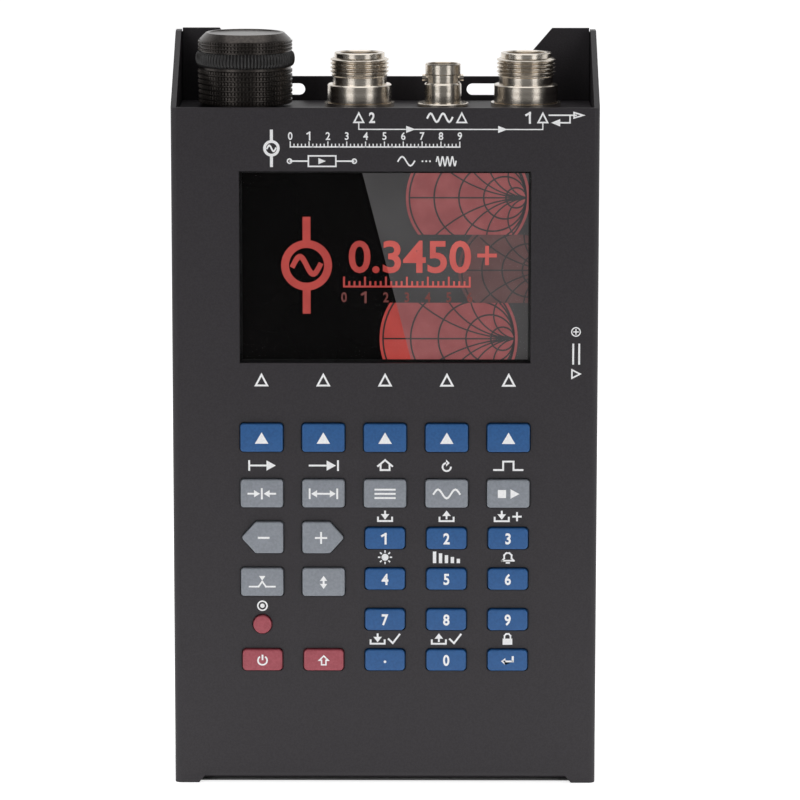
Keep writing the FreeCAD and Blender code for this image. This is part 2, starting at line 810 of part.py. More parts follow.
def make_battery_cells():
    """Three round cells, one above the other, each with its positive cap."""
    members = []
    for number in range(3):
        level = f"{CELL_LOW} + {number} * {CELL_PITCH}"
        left = f"-{HOLDER_INSIDE}/2 + cell_gap"
        members.append(cylinder("cell", "cell_wide", "cell_long", left, CELL_DEPTH, level, "x"))
        members.append(cylinder("cell_end", "cell_cap", "cell_cap_long", f"{left} + cell_long",
                                CELL_DEPTH, level, "x"))
    return gather("battery_cells", members)


def make_battery_holder():
    """Open tray on the rear plate's inner face."""
    tall = f"(3 * {CELL_PITCH} + cell_gap + 2*holder_wall)"
    body = new_body("battery_holder", level=f"holder_low + {tall}/2")
    outer = front_sketch(body, REAR)
    rectangle(outer, "0", "0", f"{HOLDER_INSIDE} + 2*holder_wall", tall)
    grow(body, outer, "holder_rim")
    inside = front_sketch(body, f"{REAR} - holder_rim - margin")
    rectangle(inside, "0", "0", HOLDER_INSIDE, f"{tall} - 2*holder_wall")
    carve(body, inside, "holder_rim - holder_wall + margin")
    return body


# ---- connectors ------------------------------------------------------------------------

def make_port(label, across):
    """Threaded coaxial port: a turned shell with a shank through the panel."""
    body = new_body(label, across, "connector_depth", PANEL)
    spin(body, [("port_shank/2", "-port_tail"), ("port_shank/2", "washer_thick"),
                ("port_collar/2", "washer_thick"), ("port_collar/2", "collar_top"),
                ("port_relief/2", "collar_top"), ("port_relief/2", "relief_top"),
                ("port_thread/2", "relief_top"), ("port_thread/2", "thread_top"),
                ("port_pilot/2", "thread_top"), ("port_pilot/2", "port_top"),
                ("port_bore/2", "port_top"), ("port_bore/2", "port_bore_floor"),
                ("port_dielectric/2", "port_bore_floor"), ("port_dielectric/2", "-port_tail")])
    return body


def make_bayonet_connector():
    """Bayonet coaxial connector with two lugs and an integral flange."""
    body = new_body("bayonet_connector", "bayonet_right", "connector_depth", PANEL)
    spin(body, [("0", "-bayonet_tail"), ("bayonet_shank/2", "-bayonet_tail"),
                ("bayonet_shank/2", "0"), ("bayonet_flange/2", "0"),
                ("bayonet_flange/2", "bayonet_flange_thick"),
                ("bayonet_collar/2", "bayonet_flange_thick"),
                ("bayonet_collar/2", "bayonet_collar_top"), ("bayonet_waist/2", "bayonet_collar_top"),
                ("bayonet_waist/2", "bayonet_waist_top"), ("bayonet_barrel/2", "bayonet_waist_top"),
                ("bayonet_barrel/2", "bayonet_top"), ("0", "bayonet_top")])
    lugs = side_sketch(body, "-lug_across/2")
    circle(lugs, "0", "lug_level", "lug_wide")
    grow(body, lugs, "lug_across")
    bore = plan_sketch(body, "bayonet_top + margin")
    circle(bore, "0", "0", "bayonet_bore")
    carve(body, bore, "bayonet_top - bayonet_floor + margin")
    core = plan_sketch(body, "bayonet_floor + margin")
    circle(core, "0", "0", "bayonet_dielectric")
    carve(body, core, "bayonet_floor + bayonet_tail + 2*margin")
    return body


def pipe(name, outer, inner, low, high, across):
    """A tube about a connector's axis, between two heights above the panel."""
    level = f"{PANEL} + ({low})"
    tall = f"({high}) - ({low})"
    shell = cylinder(name + "_outer", outer, tall, across, "connector_depth", level)
    hole = cylinder(name + "_inner", inner, f"{tall} + 2*margin", across, "connector_depth",
                    f"{level} - margin")
    return subtract(name, shell, hole)


def rod(name, wide, low, high, across):
    return cylinder(name, wide, f"({high}) - ({low})", across, "connector_depth",
                    f"{PANEL} + ({low})")


PORTS = {"right": "port_right", "left": "-port_left"}


def make_connector_insulators():
    """White dielectric beads that hold the centre contacts."""
    hole = "contact_pin + 2*fit_gap"
    beads = []
    for side, across in PORTS.items():
        beads.append(pipe("port_bead_" + side, "port_dielectric - 2*fit_gap", hole,
                          "-port_tail", "port_bore_floor", across))
    base = pipe("bayonet_base", "bayonet_dielectric - 2*fit_gap", hole,
                "-bayonet_tail", "bayonet_floor", "bayonet_right")
    sleeve = pipe("bayonet_sleeve_tube", "bayonet_sleeve", "bayonet_contact + 2*fit_gap",
                  "bayonet_floor", "bayonet_sleeve_top", "bayonet_right")
    beads.append(gather("bayonet_bead", [base, sleeve]))
    return gather("connector_insulators", beads)


def make_connector_contacts():
    """Centre contacts: a socket above the bead and a pin down to the main board."""
    contacts = []
    for side, across in PORTS.items():
        socket = pipe("port_socket_" + side, "port_contact", "contact_socket",
                      "port_bore_floor + margin", "port_contact_top", across)
        solid = rod("port_root_" + side, "port_contact", "port_bore_floor + fit_gap",
                    "port_bore_floor + margin", across)
        pin = rod("port_pin_" + side, "contact_pin", "-contact_reach", "port_bore_floor + margin", across)
        contacts.append(gather("port_contact_" + side, [socket, solid, pin]))
    across = "bayonet_right"
    socket = pipe("bayonet_socket_tube", "bayonet_contact", "bayonet_socket",
                  "bayonet_floor + margin", "bayonet_contact_top", across)
    solid = rod("bayonet_root", "bayonet_contact", "bayonet_floor + fit_gap",
                "bayonet_floor + margin", across)
    pin = rod("bayonet_pin", "contact_pin", "-contact_reach", "bayonet_floor + margin", across)
    contacts.append(gather("bayonet_contact_all", [socket, solid, pin]))
    return gather("connector_contacts", contacts)


def make_connector_washers():
    """Plain washers between the panel and the threaded ports."""
    bore = "port_shank + 2*fit_gap"
    rings = [pipe("port_ring_" + side, "port_washer", bore, "0", "washer_thick", across)
             for side, across in PORTS.items()]
    return gather("connector_washers", rings)


def hexagon_nut(name, flats, thick, bore, across, low):
    """A hexagon nut about a connector's axis."""
    prism = doc.addObject("Part::Prism", name + "_prism")
    prism.Polygon = 6
    prism.setExpression("Circumradius", bound(f"({flats})/sqrt(3)"))
    prism.setExpression("Height", bound(thick))
    set_place(prism, across, "connector_depth", f"{PANEL} + ({low})")
    hole = cylinder(name + "_bore", bore, f"({thick}) + 2*margin", across, "connector_depth",
                    f"{PANEL} + ({low}) - margin")
    return subtract(name, prism, hole)


def make_connector_nuts():
    """Nuts that draw the connectors down from under the panel."""
    nuts = []
    for side, across in PORTS.items():
        nuts.append(hexagon_nut("port_nut_" + side, "port_shank + 2*port_nut_wall", "port_nut_thick",
                                "port_shank + 2*fit_gap", across, "-sheet - port_nut_thick"))
    nuts.append(hexagon_nut("bayonet_hexagon", "bayonet_shank + 2*bayonet_nut_wall",
                            "bayonet_nut_thick",
                            "bayonet_shank + 2*fit_gap", "bayonet_right", "-sheet - bayonet_nut_thick"))
    return gather("connector_nuts", nuts)


# ---- encoder and knob ------------------------------------------------------------------

def make_encoder_body():
    """Rotary encoder under the panel, with its threaded bush through it."""
    body = new_body("encoder_body", "-knob_across", "connector_depth", PANEL)
    shell = plan_sketch(body, "-sheet - encoder_tall")
    rectangle(shell, "0", "0", "encoder_wide", "encoder_wide")
    grow(body, shell, "encoder_tall")
    bush = plan_sketch(body, "-sheet")
    circle(bush, "0", "0", BUSH)
    grow(body, bush, "sheet + bush_top")
    bore = plan_sketch(body, "bush_top + margin")
    circle(bore, "0", "0", "shaft_wide + 2*shaft_play")
    carve(body, bore, "bush_top + margin + shaft_low + panel_gap")
    return body


def make_encoder_nut():
    nut = hexagon_nut("encoder_nut", f"{BUSH} + 2*encoder_nut_wall", "encoder_nut_thick",
                      f"{BUSH} + 2*fit_gap", "-knob_across", "0")
    nut.Label = "encoder_nut"
    return nut


def make_encoder_shaft():
    body = new_body("encoder_shaft", "-knob_across", "connector_depth", PANEL)
    rod_end = plan_sketch(body, "-shaft_low")
    circle(rod_end, "0", "0", "shaft_wide")
    grow(body, rod_end, "shaft_low + shaft_top")
    return body


def make_tuning_knob():
    """Turned metal knob, hollow below to cover the nut, with a seat for the grip ring."""
    body = new_body("tuning_knob", "-knob_across", "connector_depth", PANEL)
    bore = "(shaft_wide/2 + fit_gap)"
    bore_top = "shaft_top + shaft_end_gap"
    recess_top = "bush_top + hub_gap"
    seat = f"{RING_SEAT}/2"
    spin(body, [("hub_recess/2", "knob_low"), ("knob_wide/2", "knob_low"),
                ("knob_wide/2", "ring_low"), (seat, "ring_low"),
                (seat, "ring_high"), ("knob_wide/2", "ring_high"),
                ("knob_wide/2", "knurl_top"), (f"{KNOB_TOP_WIDE}/2", "knob_top"),
                (f"{KNOB_TOP_WIDE}/2 - dish_rim", "knob_top"), ("0", "knob_top - dish_deep"),
                ("0", bore_top), (bore, bore_top), (bore, recess_top), ("hub_recess/2", recess_top)])
    return body


def make_knob_grip_ring():
    body = new_body("knob_grip_ring", "-knob_across", "connector_depth", PANEL)
    inner = f"{RING_SEAT}/2 + fit_gap"
    outer = "knob_wide/2 + ring_proud"
    spin(body, [(inner, "ring_low"), (outer, "ring_low"), (outer, "ring_high"),
                (inner, "ring_high")])
    return body


# ---- the whole part --------------------------------------------------------------------

sub_parts = [make_key(*key) for key in keys]
sub_parts += [
    make_front_cover(),
    make_back_cover(),
    make_connector_panel(),
    make_folded_panel("bottom_panel", "floor_level", False),
    make_side_brackets(),
    make_back_screws(),
    make_rubber_feet(),
    make_display_window(),
    make_display_frame(),
    make_display_panel(),
    make_board("keypad_board", KEYPAD_HALF, KEYPAD_LOW, KEYPAD_HIGH, "keypad_depth"),
    make_board("main_board", MAIN_HALF, MAIN_LOW, MAIN_HIGH, MAIN),
    make_key_switches(),
    make_board_standoffs(),
    make_rf_shields(),
    make_buzzer(),
    make_power_jack(),
    make_battery_cells(),
    make_battery_holder(),
    make_port("port_1", "port_right"),
    make_port("port_2", "-port_left"),
    make_bayonet_connector(),
    make_connector_insulators(),
    make_connector_contacts(),
    make_connector_washers(),
    make_connector_nuts(),
    make_encoder_body(),
    make_encoder_nut(),
    make_encoder_shaft(),
    make_tuning_knob(),
    make_knob_grip_ring(),
]
doc.recompute()


def check_document():
    """Stop on any failed feature, empty pocket, or null or invalid sub-part."""
    for thing in doc.Objects:
        if "Invalid" in thing.State or "Error" in thing.State:
            raise RuntimeError(f"{thing.Label} failed: {thing.State}")
        if thing.TypeId == "PartDesign::Pocket":
            if thing.Shape.Volume > thing.BaseFeature.Shape.Volume - 0.01:
                raise RuntimeError(f"{thing.Label} removes nothing")
    for piece in sub_parts:
        if piece.Shape.isNull() or not piece.Shape.isValid():
            raise RuntimeError(f"{piece.Label} has no valid shape")


check_document()
for piece in sub_parts:
    piece.Shape.exportStep(f"parts/{piece.Label}.step")
print(len(sub_parts), "sub-parts written")
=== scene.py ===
"""A handheld vector network analyzer: a folded steel case with a screen, twenty-nine keys,
three coaxial connectors and a tuning knob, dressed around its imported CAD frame."""

import math

import bmesh
import bpy
from mathutils import Matrix, Vector


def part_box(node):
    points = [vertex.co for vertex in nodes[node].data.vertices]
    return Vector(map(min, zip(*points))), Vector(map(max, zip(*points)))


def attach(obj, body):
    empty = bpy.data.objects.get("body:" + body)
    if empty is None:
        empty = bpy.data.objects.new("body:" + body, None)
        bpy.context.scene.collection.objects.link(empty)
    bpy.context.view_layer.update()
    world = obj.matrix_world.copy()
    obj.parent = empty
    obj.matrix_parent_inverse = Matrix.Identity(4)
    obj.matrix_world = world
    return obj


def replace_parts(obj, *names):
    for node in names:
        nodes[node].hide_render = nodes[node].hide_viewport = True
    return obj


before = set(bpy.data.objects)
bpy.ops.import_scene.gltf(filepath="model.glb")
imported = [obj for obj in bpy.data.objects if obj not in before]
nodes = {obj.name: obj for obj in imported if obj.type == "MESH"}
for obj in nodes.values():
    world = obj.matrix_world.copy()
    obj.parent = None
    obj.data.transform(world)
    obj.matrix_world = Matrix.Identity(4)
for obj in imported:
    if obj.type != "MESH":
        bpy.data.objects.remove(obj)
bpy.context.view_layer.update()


# Camera: a long lens a little above the instrument and well in front of it, looking slightly
# down on its face. It has no blur from focus.
lens = bpy.data.cameras.new("camera")
lens.lens = 203.63
lens.sensor_width = 36.0
camera = bpy.data.objects.new("camera", lens)
bpy.context.scene.collection.objects.link(camera)
camera.matrix_world = (
    Matrix.Translation((0.0066833, -1.214122, 0.3086033))
    @ Matrix.Rotation(math.radians(0.129), 4, "Z")
    @ Matrix.Rotation(math.radians(80.355), 4, "X")
    @ Matrix.Rotation(math.radians(0.052), 4, "Z")
)
bpy.context.scene.camera = camera
bpy.context.scene.view_settings.view_transform = "Standard"


# Studio: a white paper sweep that glows a little, so that it stays white, with a grey sheet under
# the instrument as a painted shadow, and three soft boxes. The camera sees plain white behind it;
# reflections see a room that is darker in front, so turned metal shows bands.
def add_finish(name, roughness, metallic=0.0, **sockets):
    """A new material and its shader, with the values that are the same all over."""
    finish = bpy.data.materials.new(name)
    finish.use_nodes = True
    surface = finish.node_tree.nodes["Principled BSDF"]
    surface.inputs["Roughness"].default_value = roughness
    surface.inputs["Metallic"].default_value = metallic
    for socket, value in sockets.items():
        surface.inputs[socket.replace("_", " ")].default_value = value
    return finish


def grain(finish, size, detail=2.0, stretch=(1, 1, 1), turn=(0, 0, 0), centre=(0, 0, 0)):
    """Cloudy grain of that size in metres, fixed to the piece."""
    tree = finish.node_tree
    where = tree.nodes.new("ShaderNodeTexCoord")
    mapping = tree.nodes.new("ShaderNodeMapping")
    mapping.inputs["Location"].default_value = [-c * s for c, s in zip(centre, stretch)]
    mapping.inputs["Rotation"].default_value = turn
    mapping.inputs["Scale"].default_value = stretch
    noise = tree.nodes.new("ShaderNodeTexNoise")
    noise.inputs["Scale"].default_value = 1 / size
    noise.inputs["Detail"].default_value = detail
    tree.links.new(where.outputs["Object"], mapping.inputs["Vector"])
    tree.links.new(mapping.outputs["Vector"], noise.inputs["Vector"])
    return noise.outputs["Fac"]


def tint(finish, pattern, dark, light, low=0.35, high=0.65, socket="Base Color"):
    """Colours the surface between two near shades, as the grain goes."""
    tree = finish.node_tree
    ramp = tree.nodes.new("ShaderNodeValToRGB")
    ramp.color_ramp.elements[0].position = low
    ramp.color_ramp.elements[1].position = high
    ramp.color_ramp.elements[0].color = (*dark, 1)
    ramp.color_ramp.elements[1].color = (*light, 1)
    tree.links.new(pattern, ramp.inputs["Fac"])
    tree.links.new(ramp.outputs["Color"], tree.nodes["Principled BSDF"].inputs[socket])


SHARP = math.radians(28)


def keep(shape, name, finish, body="root", smooth=True):
    """Turns the worked shape into a piece of that name, riding on its body."""
    mesh = bpy.data.meshes.new(name)
    shape.to_mesh(mesh)
    shape.free()
    mesh.polygons.foreach_set("use_smooth", [smooth] * len(mesh.polygons))
    mesh.set_sharp_from_angle(angle=SHARP)
    mesh.materials.append(finish)
    piece = bpy.data.objects.new(name, mesh)
    bpy.context.scene.collection.objects.link(piece)
    if body:
        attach(piece, body)
    return piece


MM = 0.001
paper = add_finish("white_paper", 0.9, Emission_Strength=0.72)
tint(paper, grain(paper, 0.3), (0.92, 0.92, 0.92), (0.95, 0.95, 0.95))
tint(paper, grain(paper, 0.3), (0.97, 0.97, 0.97), (1, 1, 1), socket="Emission Color")
PAPER_FRONT, PAPER_REACH = 0.36, 9.0
sweep = bmesh.new()
bmesh.ops.create_grid(sweep, x_segments=1, y_segments=1, size=PAPER_REACH)
bmesh.ops.translate(sweep, verts=sweep.verts, vec=(0, PAPER_REACH - PAPER_FRONT, 0))
keep(sweep, "paper_floor", paper, body=None)
# Painted shadow: a grey sheet under the instrument, since the glowing paper casts no shadow there.
painted_shadow_paper = add_finish("painted_contact_shadow", 0.9)
tint(painted_shadow_paper, grain(painted_shadow_paper, 0.3), (0.5, 0.5, 0.5), (0.52, 0.52, 0.52))
under = bmesh.new()
bmesh.ops.create_grid(under, x_segments=1, y_segments=1, size=0.5)
UNDER_WIDE, UNDER_DEEP, UNDER_LIFT = 108 * MM, 33 * MM, 0.02 * MM
under_size = Matrix.Diagonal((UNDER_WIDE, UNDER_DEEP, 1, 1))
under_place = Matrix.Translation((0, 0, UNDER_LIFT)) @ under_size
bmesh.ops.transform(under, matrix=under_place, verts=under.verts)
keep(under, "painted_contact_shadow", painted_shadow_paper, body=None)

room = bpy.data.worlds.new("room")
bpy.context.scene.world = room
room.use_nodes = True
walls = room.node_tree
direction = walls.nodes.new("ShaderNodeTexCoord")
depth = walls.nodes.new("ShaderNodeSeparateXYZ")
shade = walls.nodes.new("ShaderNodeMapRange")
shade.inputs["From Min"].default_value = -1.0
shades = walls.nodes.new("ShaderNodeValToRGB")
ROOM_SHADES = [(0.0, 0.22), (0.12, 0.20), (0.32, 0.06), (0.62, 0.08), (0.78, 0.85), (1.0, 1.0)]
for spot, _ in ROOM_SHADES[1:-1]:
    shades.color_ramp.elements.new(spot)
for element, (spot, level) in zip(shades.color_ramp.elements, ROOM_SHADES):
    element.position = spot
    element.color = (level, level, level, 1)
seen = walls.nodes.new("ShaderNodeLightPath")
backdrop = walls.nodes.new("ShaderNodeMix")
backdrop.data_type = "RGBA"
backdrop.inputs["B"].default_value = (1, 1, 1, 1)
walls.links.new(direction.outputs["Generated"], depth.inputs["Vector"])
walls.links.new(depth.outputs["Y"], shade.inputs["Value"])
walls.links.new(shade.outputs["Result"], shades.inputs["Fac"])
walls.links.new(shades.outputs["Color"], backdrop.inputs["A"])
walls.links.new(seen.outputs["Is Camera Ray"], backdrop.inputs["Factor"])
walls.links.new(backdrop.outputs["Result"], walls.nodes["Background"].inputs["Color"])
AIM = Vector((0, 0, 0.12))


def soft_box(name, place, width, height, power):
    """A soft box of that size at that place, turned to the instrument."""
    light = bpy.data.lights.new(name, "AREA")
    light.shape = "RECTANGLE"
    light.size = width
    light.size_y = height
    light.energy = power
    lamp = bpy.data.objects.new(name, light)
    lamp.location = place
    lamp.rotation_euler = (Vector(place) - AIM).to_track_quat("Z", "Y").to_euler()
    bpy.context.scene.collection.objects.link(lamp)


soft_box("left_soft_box", (-0.68, -0.98, 0.55), 0.62, 1.1, 3.6)
soft_box("right_soft_box", (0.74, -0.94, 0.55), 0.50, 1.1, 2.9)
soft_box("overhead_soft_box", (0.0, 0.1, 1.6), 1.6, 1.2, 9)


# Case: front, rear plate, connector panel and bottom, cut and folded from steel sheet and
# sprayed with one fine-textured, warm black powder coat. The pieces screw together from behind.
def relief(finish, pattern, depth, strength=1.0):
    """Raises the surface by that depth in metres where the grain is high."""
    tree = finish.node_tree
    bump = tree.nodes.new("ShaderNodeBump")
    bump.inputs["Distance"].default_value = depth
    bump.inputs["Strength"].default_value = strength
    tree.links.new(pattern, bump.inputs["Height"])
    tree.links.new(bump.outputs["Normal"], tree.nodes["Principled BSDF"].inputs["Normal"])


def dress(finish, *names):
    """Gives frame nodes a finish, with their rounds shaded smoothly in the copy that is shown."""
    for name in names:
        part = nodes[name]
        part.data.materials.clear()
        part.data.materials.append(finish)
        part.data.polygons.foreach_set("use_smooth", [True] * len(part.data.polygons))
        part.modifiers.new("join", "WELD").merge_threshold = 1e-6
        part.modifiers.new("edges", "EDGE_SPLIT").split_angle = SHARP


powder_coat = add_finish("powder_coat", 0.5)
powder = grain(powder_coat, 0.4 * MM, 1.0)
tint(powder_coat, powder, (0.0120, 0.0092, 0.0125), (0.0190, 0.0152, 0.0197))
relief(powder_coat, powder, 0.03 * MM)
dress(powder_coat, "front_cover", "back_cover", "connector_panel", "bottom_panel")

# Seam strips: near-black strips laid in the narrow gaps between the side walls and the rear
# plate's edges, so no light comes through them; their dark colour is painted shade for the seams.
seam_shade_finish = add_finish("painted_seam_shade", 0.9)
tint(seam_shade_finish, grain(seam_shade_finish, 0.3 * MM), (0.008, 0.008, 0.008), (0.013, 0.013, 0.013))
rear_low, rear_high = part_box("back_cover")
PANEL_GAP, SEAM_DEEP, SEAM_SHORT = 0.25 * MM, 1.1 * MM, 1 * MM
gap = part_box("bottom_panel")[1].x - rear_high.x + PANEL_GAP
seams = bmesh.new()
for edge, side in ((rear_low.x, -1), (rear_high.x, 1)):
    middle = Vector((
        edge + side * gap / 2,
        (rear_low.y + rear_high.y) / 2,
        (rear_low.z + rear_high.z - SEAM_SHORT) / 2,
    ))
    size = Matrix.Diagonal((gap, SEAM_DEEP, rear_high.z - rear_low.z - SEAM_SHORT, 1))
    bmesh.ops.create_cube(seams, size=1, matrix=Matrix.Translation(middle) @ size)
keep(seams, "seam_strips", seam_shade_finish, smooth=False)


# Face print: white ink, screen-printed on the coat and on the caps. Every mark is a plain sign
# or a figure, cut as a thin plate that stands 0.02 to 0.036 mm proud of what it is printed on.
INK_THICK = 0.03
INK_SUNK = 0.01
INK_STEP = 0.002
STROKE = 0.5
ink = add_finish("white_ink", 0.5)
tint(ink, grain(ink, 0.5 * MM), (0.84, 0.84, 0.85), (0.93, 0.93, 0.94))


def stroke(shape, points, wide=STROKE):
    """Straight strokes of ink from point to point of the face, in millimetres. Strokes that
    cross differ a little in thickness, so no two of their faces coincide."""
    for start, end in zip(points, points[1:]):
        thick = INK_THICK + INK_STEP * (len(shape.faces) % 7)
        run = Vector(end) - Vector(start)
        middle = (Vector(start) + Vector(end)) / 2
        turn = Matrix.Rotation(math.atan2(run.y, run.x), 4, "Z")
        size = Matrix.Diagonal((run.length + wide, wide, thick, 1))
        place = Matrix.Translation((middle.x, middle.y, 0)) @ turn @ size
        bmesh.ops.create_cube(shape, size=1, matrix=place)


def thicken(shape, faces):
    """Gives flat shapes the ink's thickness, closed all round."""
    raised = bmesh.ops.extrude_face_region(shape, geom=faces, use_keep_orig=True)["geom"]
    lifted = [part for part in raised if isinstance(part, bmesh.types.BMVert)]
    bmesh.ops.translate(shape, verts=lifted, vec=(0, 0, INK_THICK + 8 * INK_STEP))
    walls = {face for corner in lifted for face in corner.link_faces}
    bmesh.ops.recalc_face_normals(shape, faces=list(walls | set(faces)))


def hollow(shape, faces, wide):
    """Cuts the middle out of a flat shape, and leaves a band so wide along its edge."""
    band = bmesh.ops.inset_region(
        shape, faces=faces, thickness=wide, use_even_offset=True, use_boundary=True
    )["faces"]
    bmesh.ops.delete(shape, geom=faces, context="FACES")
    return band


def arrow_tip(shape, at, heading, wide, long, line=0.0):
    """A triangle pointing along its heading in degrees, solid or drawn in outline."""
    made = bmesh.ops.create_circle(shape, cap_ends=True, segments=3, radius=1)["verts"]
    faces = list({face for corner in made for face in corner.link_faces})
    turn = Matrix.Rotation(math.radians(heading - 90), 4, "Z")
    size = Matrix.Diagonal((wide / math.sqrt(3), long / 1.5, 1, 1))
    middle = Matrix.Translation((0, -0.25, 0))
    place = Matrix.Translation((*at, -INK_THICK / 2)) @ turn @ size @ middle
    bmesh.ops.transform(shape, matrix=place, verts=made)
    thicken(shape, hollow(shape, faces, line) if line else faces)


def ring(shape, at, radius, wide=STROKE, segments=40):
    """A ring of ink."""
    made = bmesh.ops.create_circle(shape, cap_ends=True, segments=segments, radius=radius)["verts"]
    faces = list({face for corner in made for face in corner.link_faces})
    bmesh.ops.translate(shape, verts=made, vec=(*at, -INK_THICK / 2))
    thicken(shape, hollow(shape, faces, wide) if wide < radius else faces)


def sign(shape, text, at, tall, narrow=1.0, bold=0.0, turn=0.0):
    """A figure or sign of the stock typeface, so tall, with its middle at a point of the face."""
    letter = bpy.data.curves.new("sign", "FONT")
    letter.body = text
    letter.offset = bold
    letter.extrude = 0.5
    letter.resolution_u = 4
    cut = bpy.data.objects.new("sign", letter)
    bpy.context.scene.collection.objects.link(cut)
    bpy.context.view_layer.update()
    mesh = bpy.data.meshes.new_from_object(cut.evaluated_get(bpy.context.evaluated_depsgraph_get()))
    corners = [corner.co for corner in mesh.vertices]
    low = Vector(map(min, *corners))
    high = Vector(map(max, *corners))
    scale = tall / (high.y - low.y)
    mesh.transform(
        Matrix.Translation((*at, 0))
        @ Matrix.Rotation(math.radians(turn), 4, "Z")
        @ Matrix.Diagonal((scale * narrow, scale, INK_THICK, 1))
        @ Matrix.Translation(-(low + high) / 2)
    )
    shape.from_mesh(mesh)
    bpy.data.objects.remove(cut)
    bpy.data.meshes.remove(mesh)


def draw(shape, centre, marks):
    """Draws a list of marks about a centre. Each is a kind, its place or points, and its sizes."""
    x, z = centre
    for kind, where, *sizes in marks:
        if kind == "line":
            stroke(shape, [(x + a, z + b) for a, b in where], *sizes)
        elif kind == "tip":
            arrow_tip(shape, (x + where[0], z + where[1]), *sizes)
        elif kind == "ring":
            ring(shape, (x + where[0], z + where[1]), *sizes)
        else:
            sign(shape, kind, (x + where[0], z + where[1]), *sizes)


def print_on(shape, name, y, body="root", finish=ink):
    """Lays drawn marks on a face at that depth, upright, as a piece on its body."""
    lift = Matrix.Translation((0, y, 0)) @ Matrix.Diagonal((MM, MM, MM, 1))
    upright = Matrix.Rotation(math.radians(90), 4, "X")
    out = Matrix.Translation((0, 0, INK_THICK / 2 - INK_SUNK))
    bmesh.ops.transform(shape, matrix=lift @ upright @ out, verts=shape.verts)
    return keep(shape, name, finish, body, smooth=False)


def wave(long, high, turns, steps=12):
    """Points of a sine line of so many turns about its middle."""
    count = int(turns * steps)
    return [
        (long * (i / count - 0.5), high / 2 * math.sin(2 * math.pi * turns * i / count))
        for i in range(count + 1)
    ]


UP, DOWN, LEFT, RIGHT = 90, -90, 180, 0
ONE = [("line", [(-0.8, 0.75), (0.15, 1.3), (0.15, -1.3)], 0.55)]
INTO_TRAY = [
    ("line", [(-1.9, -0.3), (-1.9, -1.25), (1.9, -1.25), (1.9, -0.3)]),
    ("line", [(0, 1.35), (0, 0.5)]),
    ("tip", (0, -0.1), DOWN, 2.3, 1.5),
]
OUT_OF_TRAY = [
    ("line", [(-1.9, -0.3), (-1.9, -1.25), (1.9, -1.25), (1.9, -0.3)]),
    ("line", [(0, -0.5), (0, 0.3)]),
    ("tip", (0, 0.9), UP, 2.3, 1.5),
]


def beside(marks, shift):
    """The same marks, moved sideways."""
    moved = []
    for kind, where, *sizes in marks:
        if kind == "line":
            moved.append((kind, [(a + shift, b) for a, b in where], *sizes))
        else:
            moved.append((kind, (where[0] + shift, where[1]), *sizes))
    return moved


soft_key_boxes = [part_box(f"soft_key_{i}") for i in range(1, 6)]
column = [(low.x + high.x) / 2 / MM for low, high in soft_key_boxes]
TICK = [("line", [(1.0, 0), (2.1, -1.1), (3.9, 1.3)])]
from_here = [
    ("line", [(-3.4, -1.2), (-3.4, 1.2)]),
    ("line", [(-3.2, 0), (1.4, 0)]),
    ("tip", (2.5, 0), RIGHT, 2.8, 2.5),
]
to_here = [
    ("line", [(3.9, -1.2), (3.9, 1.2)]),
    ("line", [(-3.7, 0), (1.2, 0)]),
    ("tip", (2.1, 0), RIGHT, 2.8, 2.5),
]
house = [
    ("line", [(-1.9, -0.1), (0, 1.5), (1.9, -0.1)]),
    ("line", [(-1.2, 0.2), (-1.2, -1.2), (1.2, -1.2), (1.2, 0.2)]),
]
one_pulse = [
    ("line", [(-3.8, -1.15), (-1.4, -1.15), (-1.4, 1.15), (1.4, 1.15), (1.4, -1.15), (3.8, -1.15)]),
]
RAY_FROM, RAY_TO = 1.45, 1.7
bright = [("ring", (0, 0), 0.95, 1)]
for a in (math.pi / 4 * i for i in range(8)):
    ends = [(reach * math.cos(a), reach * math.sin(a)) for reach in (RAY_FROM, RAY_TO)]
    bright.append(("line", ends, 0.4))
falling_steps = [
    ("line", [(-3.2 + 1.6 * i, -1.15), (-3.2 + 1.6 * i, 1.15 - 0.5 * i)], 0.9) for i in range(5)
]
bell = [
    ("line", [(-1.6, -0.9), (-1.0, -0.3), (-1.0, 0.6), (-0.4, 1.2), (0.4, 1.2), (1.0, 0.6),
              (1.0, -0.3), (1.6, -0.9), (-1.6, -0.9)], 0.45),
    ("line", [(-0.35, -1.5), (0.35, -1.5)], 0.45),
]
lock = [
    ("line", [(-0.45, -0.65), (0.45, -0.65)], 1.7),
    ("line", [(-0.8, 0.2), (-0.8, 1.0), (-0.35, 1.5), (0.35, 1.5), (0.8, 1.0), (0.8, 0.2)], 0.42),
]
plus = [("line", [(1.4, 0), (3.4, 0)]), ("line", [(2.4, -1), (2.4, 1)])]
LABELS = [
    (0, 87.6, from_here),
    (1, 87.6, to_here),
    (2, 87.6, house),
    (3, 87.6, [("\u21bb", (0, 0), 3.4, 1.0, 0.03)]),
    (4, 87.6, one_pulse),
    (2, 73.7, INTO_TRAY),
    (3, 73.7, OUT_OF_TRAY),
    (4, 73.7, beside(INTO_TRAY, -1.7) + plus),
    (2, 62.5, bright),
    (3, 62.5, falling_steps),
    (4, 62.5, bell),
    (0, 49.1, [("ring", (0, 0), 1.45, 0.4), ("ring", (0, 0), 0.6, 1)]),
    (2, 39.9, beside(INTO_TRAY, -2.0) + TICK),
    (3, 39.9, beside(OUT_OF_TRAY, -2.0) + TICK),
    (4, 39.9, lock),
]
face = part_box("front_cover")[0].y
face_print = bmesh.new()
for which, level, marks in LABELS:
    draw(face_print, (column[which], level), marks)
SOFT_KEY_POINTERS = 111.0
for x in column:
    arrow_tip(face_print, (x, SOFT_KEY_POINTERS), UP, 3.9, 3.7, 0.5)

